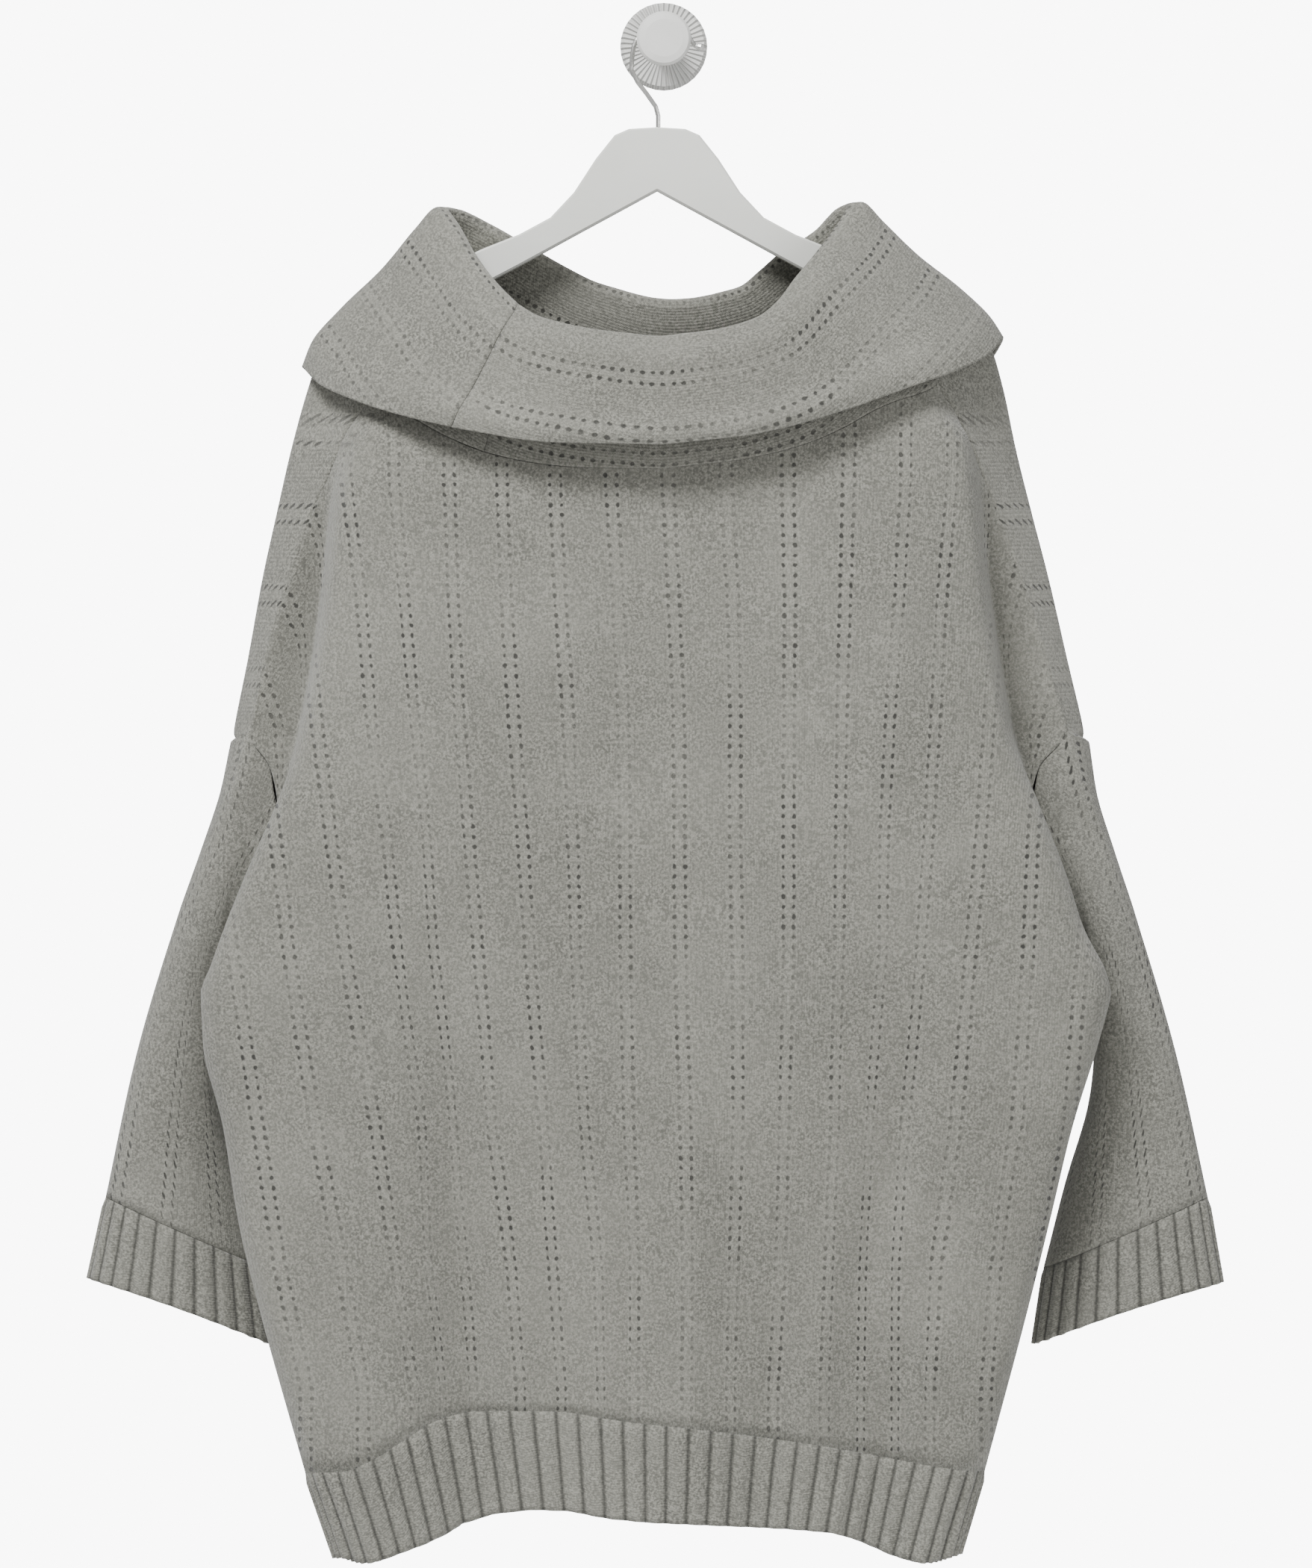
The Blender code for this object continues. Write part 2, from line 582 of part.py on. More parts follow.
def sleeve_points(loop, side):
    """The sleeve's middle points: rings from the armhole's loop to the flat cuff."""
    count = len(loop)
    top_index = SLEEVE_TOP_COLUMN
    share, swell = oval(count, top_index)
    out_way = -1 if side == "left" else 1
    rings = []
    for along in SLEEVE_ROWS:
        read = {name: float(ease(SLEEVE["share"], SLEEVE[name], [along])[0]) for name in SLEEVE}
        top = place([read["top_" + side], read["top_depth"], read["top_drop"]])
        under = place([read["under_" + side], read["under_depth"], read["under_drop"]])
        if not rings:
            first_under, first_way = loop[0], loop[top_index] - loop[0]
            local = loop - first_under
            length = np.linalg.norm(first_way)
            unit = first_way / length
            on_line = local @ unit / length
            off_line = local - np.outer(on_line * length, unit)
            rings.append(loop)
            continue
        grown = float(ramp(along, 0, 0.45))
        part_way = on_line + (share - on_line) * grown
        bulge = off_line * (1 - grown)
        bulge[:, 1] += swell * MM * grown
        spread = np.sqrt(np.clip(np.sin(math.pi * on_line), 0, 1)) * (1 - grown)
        bulge[:, 0] += spread * out_way * SLEEVE_SPREAD[0] * MM
        bulge[:, 2] += spread * SLEEVE_SPREAD[1] * MM
        rings.append(under + np.outer(part_way, top - under) + bulge)
    rings = np.array(rings)
    for _ in range(RELAX_PASSES):
        ahead = np.roll(rings, -1, axis=1)
        behind = np.roll(rings, 1, axis=1)
        mean = (ahead + behind) / 2
        mean[1:-1] = (mean[1:-1] + (rings[2:] + rings[:-2]) / 2) / 2
        rings[1:RELAX_ROWS + 1] += 0.5 * (mean - rings)[1:RELAX_ROWS + 1]
    return rings


def cuff_points(ring, side):
    """The cuff's middle points: two rings, with an extra column on each rib's crest."""
    top_across, top_drop, top_depth, under_across, under_drop, under_depth = CUFF_END[side]
    top = place([top_across, top_depth, top_drop])
    under = place([under_across, under_depth, under_drop])
    share, swell = oval(len(ring), SLEEVE_TOP_COLUMN)
    hollow = CUFF_HOLLOW * MM * 4 * share * (1 - share)
    end = under + np.outer(share, top - under)
    end[:, 1] += swell * MM
    end[:, 2] += hollow
    return with_crests(np.array([ring, end]), True)


def with_crests(points, closed, crests=1):
    """Add evenly spaced columns between the columns of a grid."""
    parts = 2 * crests
    cols = points.shape[1]
    made = []
    for col in range(cols if closed else cols - 1):
        here = points[:, col]
        there = points[:, (col + 1) % cols]
        for piece in range(parts):
            made.append(here + (there - here) * piece / parts)
    if not closed:
        made.append(points[:, -1])
    return np.array(made).transpose(1, 0, 2)


def rib_lift(rows, cols):
    """The raise of each column: every second one is a rib's crest."""
    lift = np.zeros((rows, cols))
    lift[1:, 1::2] = RIB_RAISE
    return lift


def hem_points(panel_points, surface, columns):
    """The hem rib's middle points, from the panel's last row to the hem's own line."""
    cols = np.arange(columns + 1, dtype=float)
    across = surface(cols, np.full(cols.size, HEM_DROP))[:, 0]
    end = place(surface(cols, ease(HEM["across"], HEM["end_drop"], across)))
    top = panel_points[-1]
    middle = (top + end) / 2
    return with_crests(np.array([top, middle, end]), False, RIBS_PER_COLUMN)


def build_cloth():
    """Every cloth piece, with its seams matched to its neighbours'."""
    front = panel(front_at, FRONT_COLUMNS, front_turns())
    back = panel(back_at, BACK_COLUMNS, back_turns())
    front_normal = -normals_of(front)
    back_normal = normals_of(back)
    seam_rows = [row for row in range(len(front))
                 if row <= ARMHOLE_ROW or row >= ARMHOLE_ROW + ARMHOLE_ROWS - 1]
    for col in (0, -1):
        for row in seam_rows:
            shared(front_normal[row, col], back_normal[row, col])

    sleeves = {}
    for side in ("left", "right"):
        col = 0 if side == "left" else -1
        rings = sleeve_points(sleeve_loop(front, back, side), side)
        normal = normals_of(rings, closed=True)
        if side == "right":
            normal = -normal
        match_armhole(front_normal, back_normal, normal, col)
        cuff = cuff_points(rings[-1], side)
        cuff_normal = normals_of(cuff, closed=True)
        if side == "right":
            cuff_normal = -cuff_normal
        normal[-1] = cuff_normal[0, ::2]
        sleeves[side] = (rings, normal, cuff, cuff_normal)

    turns = np.concatenate([front_turns(), back_turns()[::-1][1:-1]])
    turns = np.concatenate([turns[COLLAR_SEAM_COLUMN:], turns[:COLLAR_SEAM_COLUMN + 1]])
    collar = place(np.array([collar_at(turns, np.full(turns.size, along)) for along in COLLAR_ROWS]))
    collar_normal = normals_of(collar)
    shared(collar_normal[:, 0], collar_normal[:, -1])
    head = np.concatenate([front_normal[0], back_normal[0][::-1][1:-1]])
    head = np.concatenate([head[COLLAR_SEAM_COLUMN:], head[:COLLAR_SEAM_COLUMN + 1]])
    if np.sum(head * collar_normal[0]) < 0:
        collar_normal = -collar_normal
    collar_normal[0] = head

    front_hem = hem_points(front, front_at, FRONT_COLUMNS)
    back_hem = hem_points(back, back_at, BACK_COLUMNS)
    front_hem_normal = -normals_of(front_hem)
    back_hem_normal = normals_of(back_hem)
    for col in (0, -1):
        shared(front_hem_normal[:, col], back_hem_normal[:, col])
    front_normal[-1] = front_hem_normal[0, ::2 * RIBS_PER_COLUMN]
    back_normal[-1] = back_hem_normal[0, ::2 * RIBS_PER_COLUMN]

    every_edge = ("top", "foot", "start", "end")
    front = inset(front, front_normal, every_edge)
    back = inset(back, back_normal, every_edge)
    wall("front_panel", front, front_normal, BODY_WALL, MARL)
    wall("back_panel", back, back_normal, BODY_WALL, MARL)
    wall("collar", inset(collar, collar_normal, ("top", "start", "end")), collar_normal,
         COLLAR_WALL, MARL)
    for name, grid, normal in (("hem_rib_front", front_hem, front_hem_normal),
                               ("hem_rib_back", back_hem, back_hem_normal)):
        grid = inset(grid, normal, ("top", "start", "end"))
        wall(name, grid, normal, BODY_WALL, MARL, raised=rib_lift(*grid.shape[:2]))
    for side, (rings, normal, cuff, cuff_normal) in sleeves.items():
        rings = inset(rings, normal, ("top", "foot"), closed=True)
        wall("sleeve_" + side, rings, normal, BODY_WALL, MARL, closed=True)
        cuff = inset(cuff, cuff_normal, ("top",), closed=True)
        wall("cuff_" + side, cuff, cuff_normal, BODY_WALL, MARL, closed=True,
             raised=rib_lift(*cuff.shape[:2]))


def match_armhole(front_normal, back_normal, sleeve_normal, col):
    """Give the body's armhole edges and the sleeve's first ring the same normals."""
    at = slice(ARMHOLE_ROW, ARMHOLE_ROW + ARMHOLE_ROWS)
    corner_columns = np.cumsum((0,) + SLEEVE_SPLITS + SLEEVE_SPLITS[::-1])
    ring = sleeve_normal[0][corner_columns % len(sleeve_normal[0])]
    front_edge = front_normal[at, col][::-1].copy()
    shared(front_edge, ring[:ARMHOLE_ROWS].copy())
    front_normal[at, col] = front_edge[::-1]
    back_edge = back_normal[at, col].copy()
    shared(back_edge, ring[ARMHOLE_ROWS - 1:].copy())
    back_edge[0] = front_edge[-1]
    back_edge[-1] = front_edge[0]
    back_normal[at, col] = back_edge
    mixed = split_loop(np.concatenate([front_edge, back_edge[1:-1]]))
    sleeve_normal[0] = mixed / np.linalg.norm(mixed, axis=-1, keepdims=True)


# The hanger, in millimetres from its own middle
HANGER_MIDDLE = -4.3
HANGER_THICK = 12.0
HANGER_EASE = 1.2
HANGER_OUTLINE = table("out upper lower", [
    (0, 53.5, 94),
    (18, 54.6, 103.8),
    (27, 58.5, 108.7),
    (39, 73.5, 115.2),
    (53, 95, 122.8),
    (68, 111, 131),
    (88, 121.8, 141.9),
    (112, 131.4, 154.5),
    (150, 149.5, 171),
    (186, 167.8, 185.5),
    (192, 172.5, 188.5),
    (196.2, 177.5, 190),
    (198.8, 182.7, 188),
])


def build_hanger():
    """The flat wooden hanger: one outline, given its thickness, with eased edges."""
    out = HANGER_OUTLINE["out"]
    upper = HANGER_OUTLINE["upper"]
    lower = HANGER_OUTLINE["lower"]
    seen = [(HANGER_MIDDLE + o, u) for o, u in zip(out, upper)]
    seen += [(HANGER_MIDDLE + o, w) for o, w in zip(out[::-1], lower[::-1])]
    seen += [(HANGER_MIDDLE - o, w) for o, w in zip(out[1:], lower[1:])]
    seen += [(HANGER_MIDDLE - o, u) for o, u in zip(out[:0:-1], upper[:0:-1])]
    near = HANGER_DEPTH - HANGER_THICK / 2
    points = place([(across, HANGER_DEPTH, drop) for across, drop in seen])
    points[:, 1] = near * MM
    mesh = bmesh.new()
    ring = [mesh.verts.new(point) for point in points]
    face = mesh.faces.new(ring)
    grown = bmesh.ops.extrude_face_region(mesh, geom=[face])
    far = [item for item in grown["geom"] if isinstance(item, bmesh.types.BMVert)]
    bmesh.ops.translate(mesh, verts=far, vec=(0, HANGER_THICK * MM, 0))
    bmesh.ops.recalc_face_normals(mesh, faces=mesh.faces)
    rim = [edge for edge in mesh.edges
           if abs(edge.verts[0].co.y - edge.verts[1].co.y) < 1e-6]
    bmesh.ops.bevel(mesh, geom=rim, offset=HANGER_EASE * MM, segments=1, profile=0.5,
                    affect="EDGES", material=-1)
    return finish("hanger_body", mesh, PAINTED_WHITE, roughness=0.4)


# The hook, in millimetres: wire, its round over the knob's neck, and its stem
HOOK_WIRE = 3.0
HOOK_ROUND = 20.0
HOOK_ROUND_TURNS = (24, 176, 13)
HOOK_STEM = (-3.6, 53.1)
KNOB_NECK = 8.8
HOOK_REST_GAP = 0.3
# Across, below the round's middle, and half thickness, from the ball end on
HOOK_END = ((27.0, -4.4, 1.9), (25.4, -4.7, 2.4), (23.4, -5.2, 2.4), (21.6, -5.7, 1.8), (20.0, -6.2, 1.5))
HOOK_LOWER = ((-20.8, 16.5), (-16.6, 24.5), (-10.8, 32.0), (-5.2, 40.0), (-3.6, 46.0))


def hook_points():
    """The wire's middle line as across, drop and half thickness, from the ball to the stem."""
    top = -(KNOB_NECK + HOOK_REST_GAP + HOOK_WIRE / 2) - KNOB_RISE
    path = [(across, top + HOOK_ROUND + below, half) for across, below, half in HOOK_END]
    for turn in np.linspace(*HOOK_ROUND_TURNS):
        angle = math.radians(turn)
        path.append((HOOK_ROUND * math.cos(angle), top + HOOK_ROUND * (1 - math.sin(angle)),
                     HOOK_WIRE / 2))
    path += [(across, drop, HOOK_WIRE / 2) for across, drop in HOOK_LOWER]
    path.append((HOOK_STEM[0], HOOK_STEM[1], HOOK_WIRE / 2))
    return path


def build_hook():
    """The wire hook: a round tube along its line, thicker at the ball end."""
    line = bpy.data.curves.new("hanger_hook", "CURVE")
    line.dimensions = "3D"
    line.bevel_depth = 1.0
    line.bevel_resolution = 2
    line.use_fill_caps = True
    spline = line.splines.new("POLY")
    path = hook_points()
    spline.points.add(len(path) - 1)
    for point, (across, drop, half) in zip(spline.points, path):
        point.co = (across * MM, HANGER_DEPTH * MM, -(drop + KNOB_RISE) * MM, 1)
        point.radius = half * MM
    hook = bpy.data.objects.new("hanger_hook", line)
    bpy.context.collection.objects.link(hook)
    line.materials.append(material("hanger_hook", WIRE_GREY, 0.3, 0.9))
    return hook


# The wall knob, turned about Y: distance from the wall, and radius, in millimetres
KNOB_PROFILE = ((0.0, 26.5), (1.0, 28.0), (7.0, 28.0), (10.0, 26.0), (10.6, 12.0), (12.0, KNOB_NECK),
                (56.0, KNOB_NECK), (57.5, 14.5), (58.5, 16.8), (60.0, 17.4), (62.5, 17.2),
                (64.5, 15.8), (65.3, 12.0))
KNOB_SIDES = 32


def build_knob():
    """The knob: its profile spun about the Y axis, closed by a face at each end."""
    mesh = bmesh.new()
    rings = []
    for away, radius in KNOB_PROFILE:
        rings.append([mesh.verts.new((radius * MM * math.cos(2 * math.pi * side / KNOB_SIDES),
                                      -away * MM,
                                      radius * MM * math.sin(2 * math.pi * side / KNOB_SIDES)))
                      for side in range(KNOB_SIDES)])
    for inner, outer in zip(rings, rings[1:]):
        for side in range(KNOB_SIDES):
            after = (side + 1) % KNOB_SIDES
            mesh.faces.new((inner[side], inner[after], outer[after], outer[side]))
    mesh.faces.new(rings[0])
    mesh.faces.new(rings[-1])
    bmesh.ops.recalc_face_normals(mesh, faces=mesh.faces)
    return finish("wall_knob", mesh, PAINTED_WHITE, roughness=0.4)


build_knob()
build_hook()
build_hanger()
build_cloth()
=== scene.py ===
import math

import bmesh
import bpy
import numpy as np
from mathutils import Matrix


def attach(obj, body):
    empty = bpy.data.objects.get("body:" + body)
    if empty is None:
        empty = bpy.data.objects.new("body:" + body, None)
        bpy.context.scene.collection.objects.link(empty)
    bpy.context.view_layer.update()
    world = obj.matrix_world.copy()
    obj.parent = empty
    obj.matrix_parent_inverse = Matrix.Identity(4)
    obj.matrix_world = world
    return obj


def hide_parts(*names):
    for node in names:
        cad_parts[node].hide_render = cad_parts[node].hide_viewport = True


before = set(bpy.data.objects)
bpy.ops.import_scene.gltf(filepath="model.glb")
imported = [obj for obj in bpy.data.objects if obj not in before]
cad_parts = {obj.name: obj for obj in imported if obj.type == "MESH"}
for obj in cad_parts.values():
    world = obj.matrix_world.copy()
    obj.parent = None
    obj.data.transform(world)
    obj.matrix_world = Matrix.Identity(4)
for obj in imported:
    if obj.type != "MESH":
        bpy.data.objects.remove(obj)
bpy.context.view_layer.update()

MM = 0.001


# Where the front is seen from, in millimetres
EYE_ACROSS = -5.0
EYE_DROP = 472.0
EYE_AWAY = 5000.0
HANGER_DEPTH = -45.0
KNOB_RISE = 2.0

# Cloth, in millimetres
BODY_WALL = 2.6
COLLAR_WALL = 3.0
RIB_RAISE = 1.3
SEAM_GAP = 0.3

# Columns across each panel, in stretches between its folds
FRONT_EDGE = 3
FRONT_FACE = 20
FRONT_COLUMNS = FRONT_FACE + 2 * FRONT_EDGE
BACK_EDGE = 4
BACK_FACE = 22
BACK_COLUMNS = BACK_FACE + 2 * BACK_EDGE
RIBS_PER_COLUMN = 2


def table(names, rows):
    """A table as one named array for each column."""
    return dict(zip(names.split(), np.array(rows, float).T))


# The front, down the garment: its outer folds, the valleys beside them, and the face between
FRONT = table("drop fold_left fold_right fold_depth valley_left valley_right valley_depth face_depth", [
    (160, -182, 174, -96, -183, 175, -94, -106),
    (216, -177, 170, -98, -180, 172.5, -95, -110),
    (255, -201, 193.5, -96, -203.5, 195, -89, -114),
    (300, -209.6, 200, -93, -214, 204, -77, -117),
    (350, -215.5, 205.2, -91, -219, 209, -67, -119),
    (400, -222.6, 212.8, -91, -226, 216.5, -62, -120),
    (439, -231, 220.5, -90, -233, 223, -62, -120),
    (462, -237, 228.5, -91, -237, 228, -68, -119),
    (490, -248, 240, -92, -239, 228, -73, -119),
    (530, -265.5, 255.5, -92, -249, 239, -74, -118),
    (565, -279.5, 267, -91, -261, 250, -74, -117),
    (590, -288.5, 280, -91, -272, 263, -74, -116),
    (606, -294, 283.8, -90, -278, 268.5, -73, -115),
    (640, -292.4, 275, -88, -281, 264, -75, -113),
    (690, -280, 259.5, -84, -273.5, 253, -71, -110),
    (740, -272.3, 247.8, -80, -268.5, 244, -68, -107),
    (790, -260.5, 233.8, -77, -257, 230, -66, -104),
    (830, -251, 226.5, -74, -247.5, 223.5, -64, -102),
    (870, -240, 215.7, -72, -237, 213, -62, -99),
    (910, -227.8, 203.4, -70, -225, 200.5, -60, -97),
    (970, -207, 185.5, -67, -204.5, 183, -58, -93),
])

# The side edges: forward shoulder seam down to 439, armhole down to 606, and side seam
EDGE = table("drop front_left front_right front_depth back_left back_right back_depth", [
    (160, -191, 183, -55, -191, 183, -55),
    (180, -190, 182, -68, -190, 182, -68),
    (200, -185, 176, -85, -185, 176, -85),
    (216, -181.5, 174, -92, -181.5, 174, -92),
    (234, -191.4, 184, -88, -191.4, 184, -88),
    (250, -202.4, 191.5, -85, -202.4, 191.5, -85),
    (270, -210, 200, -81, -210, 200, -81),
    (292, -221, 208.8, -76, -221, 208.8, -76),
    (313, -228.1, 216.9, -73, -228.1, 216.9, -73),
    (339, -237.1, 226.2, -70, -237.1, 226.2, -70),
    (368, -246.2, 235.5, -67.5, -246.2, 235.5, -67.5),
    (394, -253.8, 243.9, -66, -253.8, 243.9, -66),
    (417, -259, 251, -65, -259, 251, -65),
    (439, -262.9, 256.5, -64, -262.9, 256.5, -64),
    (447, -261, 252, -64.5, -275.5, 270.5, -45),
    (462, -251, 239, -65, -270, 263, -33),
    (490, -246, 233, -66, -261, 250, -29),
    (530, -255, 243, -66, -260, 248, -29),
    (565, -267, 256, -65.5, -266, 254, -31),
    (590, -277, 267, -63, -274, 263, -40),
    (599, -280, 270.5, -58.5, -279, 269.5, -46),
    (606, -281, 271.5, -52, -281, 271.5, -52),
    (622, -281, 270, -56, -281, 270, -56),
    (640, -279, 263, -60, -279, 263, -60),
    (690, -268, 248.5, -64, -268, 248.5, -64),
    (740, -260, 236, -62, -260, 236, -62),
    (790, -249, 222.5, -60, -249, 222.5, -60),
    (830, -240, 216, -58, -240, 216, -58),
    (870, -230, 206, -56, -230, 206, -56),
    (910, -218, 194, -54, -218, 194, -54),
    (970, -198, 176, -52, -198, 176, -52),
])

# The back: the shoulder fold at the outline, then two lines further in, and the middle
BACK = table("drop fold_left fold_right fold_depth near_in near_depth side_in side_depth mid_depth", [
    (160, -190, 181, -52, 4, -33, 25, -29, -22),
    (165.5, -193, 184.5, -52, 4, -33, 28, -28, -22),
    (170, -199, 190.5, -52, 4, -33, 30, -28, -22),
    (176, -204.5, 196, -52, 4, -33, 34, -27, -22),
    (185, -211, 202.5, -52, 4, -33, 36, -27, -22),
    (193, -216.5, 207.5, -51, 5, -33, 40, -27, -22),
    (220, -226, 215.5, -50, 7, -33, 45, -26, -22),
    (250, -234.5, 221.5, -48, 8, -33, 45, -26, -22),
    (277, -240.5, 227.7, -48, 8, -33, 45, -26, -22),
    (334, -253.4, 242.5, -48, 8, -33, 45, -26, -22),
    (391, -263.8, 255.7, -47, 8, -32, 45, -26, -22),
    (439, -273, 266.5, -46, 10, -31, 50, -26, -23),
    (447, -269, 264, -37, 12, -30, 55, -25, -23),
    (462, -262, 255, -30.5, 14, -28, 60, -25, -23),
    (490, -253, 242, -28, 14, -27, 60, -25, -23),
    (530, -251, 239, -28, 14, -27, 60, -25, -24),
    (565, -257, 245, -29.5, 14, -28, 60, -25, -25),
    (590, -266, 255, -37, 14, -34, 60, -28, -26),
    (606, -274, 264.5, -46, 14, -40, 60, -32, -27),
    (640, -272, 256, -57, 14, -49, 60, -36, -28),
    (690, -261, 241.5, -56, 14, -48, 60, -36, -29),
    (790, -242, 215.5, -53, 14, -46, 60, -36, -30),
    (870, -223, 199, -50, 14, -44, 60, -35, -31),
    (970, -191, 169, -47, 14, -42, 60, -35, -31),
])

# Upright folds on the lower front: a positive depth is a trough, a negative one a ridge
FRONT_FOLDS = table("top_across hem_across start full spread depth", [
    (-160, -124, 330, 820, 20, 12),
    (-70, -62, 600, 900, 20, 7),
    (62, 62, 600, 880, 22, 8),
    (142, 134, 480, 860, 22, 11),
    (-198, -186, 560, 860, 20, -5),
    (12, 12, 560, 900, 26, -5),
    (97, 97, 560, 880, 16, -5),
    (184, 172, 600, 860, 14, -4),
])
BACK_FOLDS = table("top_across hem_across start full spread depth", [
    (-120, -130, 380, 860, 24, -6),
    (-30, -36, 460, 880, 22, 5),
    (66, 58, 420, 880, 26, -6),
    (140, 130, 560, 900, 20, 4),
])

# The lower edge of the panels, where the rib starts, and the rib's own lower edge
RIB_TOP_DROP = 890.0
HEM_DROP = 940.0
HEM = table("across rib_drop end_drop", [
    (-212, 911, 965),
    (-200, 908, 969),
    (-170, 893, 961),
    (-145, 879, 952),
    (-121, 872, 940),
    (-73, 872, 934.5),
    (-24, 879, 942),
    (22, 884, 944.5),
    (80, 891, 947),
    (117, 897, 951),
    (153, 903, 964),
    (175, 907, 969),
    (195, 910, 962),
])

# The collar, once round from the front middle by the left, the back and the right
COLLAR = table("turn neck_across neck_depth neck_drop fold_across fold_depth fold_drop"
               " edge_across edge_depth edge_drop", [
    (0.000, -4, -114, 271, -4, -124, 187, -4, -143, 255),
    (0.050, -50, -113.5, 270.5, -42, -122, 183, -68.6, -140, 254),
    (0.100, -97, -111, 265, -83, -116, 173, -115, -134, 248),
    (0.150, -140, -105, 250, -105, -101, 155, -165, -120, 237.5),
    (0.200, -181.5, -92, 216, -122, -82, 132.5, -203, -97, 225),
    (0.225, -190.5, -69, 184, -132, -70, 114.5, -221, -76, 216),
    (0.243, -193, -54, 166, -138, -60, 106, -230, -57, 206),
    (0.262, -191.5, -36.5, 166, -136, -52, 105.3, -229.5, -38, 207),
    (0.275, -186, -31, 172, -130, -46, 106.5, -226, -28, 210),
    (0.300, -172, -28, 186, -112, -35, 115, -203, -16, 224),
    (0.350, -130, -23.5, 208, -76, -27, 135.5, -150, -9.5, 240),
    (0.400, -85, -22, 222, -42, -23, 153, -95, -8, 246),
    (0.500, 0, -21.5, 232, 5, -21, 163.5, 0, -7.5, 249),
    (0.600, 80, -22, 220, 47, -23, 156, 90, -8, 244),
    (0.650, 122, -23.5, 205, 73, -26, 135, 140, -9.5, 236),
    (0.700, 163, -28, 182, 97, -33, 119.5, 190, -16, 218),
    (0.725, 177.5, -31, 171, 111, -47, 105.5, 211, -28, 198),
    (0.738, 183, -36.5, 166, 117, -52, 103, 215.5, -38, 190),
    (0.757, 184.5, -54, 166, 119, -60, 102.5, 216, -57, 187.5),
    (0.775, 182, -69, 184, 112, -70, 114.5, 210, -76, 196),
    (0.800, 174, -92, 216, 102, -82, 128, 191, -97, 206.5),
    (0.850, 140, -105, 231, 86, -100, 147.5, 152, -118, 220.5),
    (0.900, 97, -111, 253, 64, -115, 172.5, 104, -132, 237),
    (0.950, 48, -113.5, 265.5, 32, -122, 183, 52, -140, 249.5),
    (1.000, -4, -114, 271, -4, -124, 187, -4, -143, 255),
])
COLLAR_SWELL = table("turn sag upper trough lower", [
    (0.00, 6, 5, -1, 4),
    (0.15, 5, 4, -2, 4),
    (0.22, 5, 0, 1, 5),
    (0.25, 4, -1.5, 1.5, 6.5),
    (0.275, 0, 3, 6, 8),
    (0.35, 0, 2, 2, 3),
    (0.65, 0, 2, 2, 3),
    (0.725, 0, 3, 5, 7),
    (0.75, 4, -3, 2, 4),
    (0.78, 5, 0, 1, 4),
    (0.85, 5, 4, -2, 4),
    (1.00, 6, 5, -1, 4),
])
COLLAR_ROWS = (0.0, 0.06, 0.24, 0.36, 0.44, 0.5, 0.56, 0.64, 0.74, 0.84, 0.93, 1.0)
COLLAR_SEAM_COLUMN = 8

# The sleeves: the fold along the top and the line under the arm, from armhole to cuff
SLEEVE = table("share top_left top_right top_drop top_depth under_left under_right under_drop under_depth", [
    (0.00, -275.5, 270.5, 447, -45, -281, 271.5, 606, -52),
    (0.08, -282.5, 276.5, 470, -45, -289, 279.5, 614, -50),
    (0.20, -292.7, 286, 505, -44, -291, 281, 636, -44),
    (0.40, -310.8, 301.7, 562, -43, -283, 271.5, 678, -36),
    (0.70, -336, 326.4, 648, -42, -268, 257, 727, -26),
    (1.00, -354.6, 345.5, 735, -41, -253.7, 243.5, 780, -24),
])
# Sleeve columns on each stretch of the armhole, from the underarm up to the forward seam
SLEEVE_SPLITS = (1, 1, 2, 2, 2, 2, 1, 1)
SLEEVE_TOP_COLUMN = sum(SLEEVE_SPLITS) + 1
SLEEVE_ROWS = (0.0, 0.08, 0.2, 0.4, 0.7, 1.0)
# How far the cloth beside the armhole leaves it, outwards and up
SLEEVE_SPREAD = (15.0, 14.0)
RELAX_ROWS = 2
RELAX_PASSES = 4
SLEEVE_FRONT_SWELL = 24.0
SLEEVE_BACK_SWELL = 12.0
# The cuff's lower edge: across, drop and depth of its outer end, then of its inner end
CUFF_END = {"left": (-366, 787, -40, -245.5, 831, -22), "right": (355, 789.5, -40, 236, 829, -22)}
CUFF_HOLLOW = 3.0


def ease(knots, values, at):
    """A smooth line through the knots that never overshoots; values may differ for each point."""
    knots = np.asarray(knots, float)
    at = np.clip(np.asarray(at, float), knots[0], knots[-1])
    values = np.asarray(values, float)
    if values.ndim == 1:
        values = np.repeat(values[:, None], at.size, axis=1)
    step = np.diff(knots)[:, None]
    rise = np.diff(values, axis=0) / step
    slope = np.zeros_like(values)
    before, after = rise[:-1], rise[1:]
    same = before * after > 1e-12
    weight_a = 2 * step[1:] + step[:-1]
    weight_b = step[1:] + 2 * step[:-1]
    safe_before = np.where(same, before, 1.0)
    safe_after = np.where(same, after, 1.0)
    mean = (weight_a + weight_b) / (weight_a / safe_before + weight_b / safe_after)
    slope[1:-1] = np.where(same, mean, 0.0)
    slope[0] = rise[0]
    slope[-1] = rise[-1]
    cell = np.clip(np.searchsorted(knots, at, side="right") - 1, 0, len(knots) - 2)
    pick = np.arange(at.size)
    width = step[cell, 0]
    share = (at - knots[cell]) / width
    near = values[cell, pick]
    far = values[cell + 1, pick]
    leave = slope[cell, pick] * width
    arrive = slope[cell + 1, pick] * width
    bend = share * share * (3 - 2 * share)
    return (near + (far - near) * bend + leave * share * (1 - share) ** 2
            - arrive * share ** 2 * (1 - share))


def column(of, name, drop):
    """One column of a table, read at these drops."""
    return ease(of["drop"], of[name], drop)


def ramp(value, start, full):
    """0 before start, 1 after full, smooth between."""
    share = np.clip((value - start) / (full - start), 0, 1)
    return share * share * (3 - 2 * share)


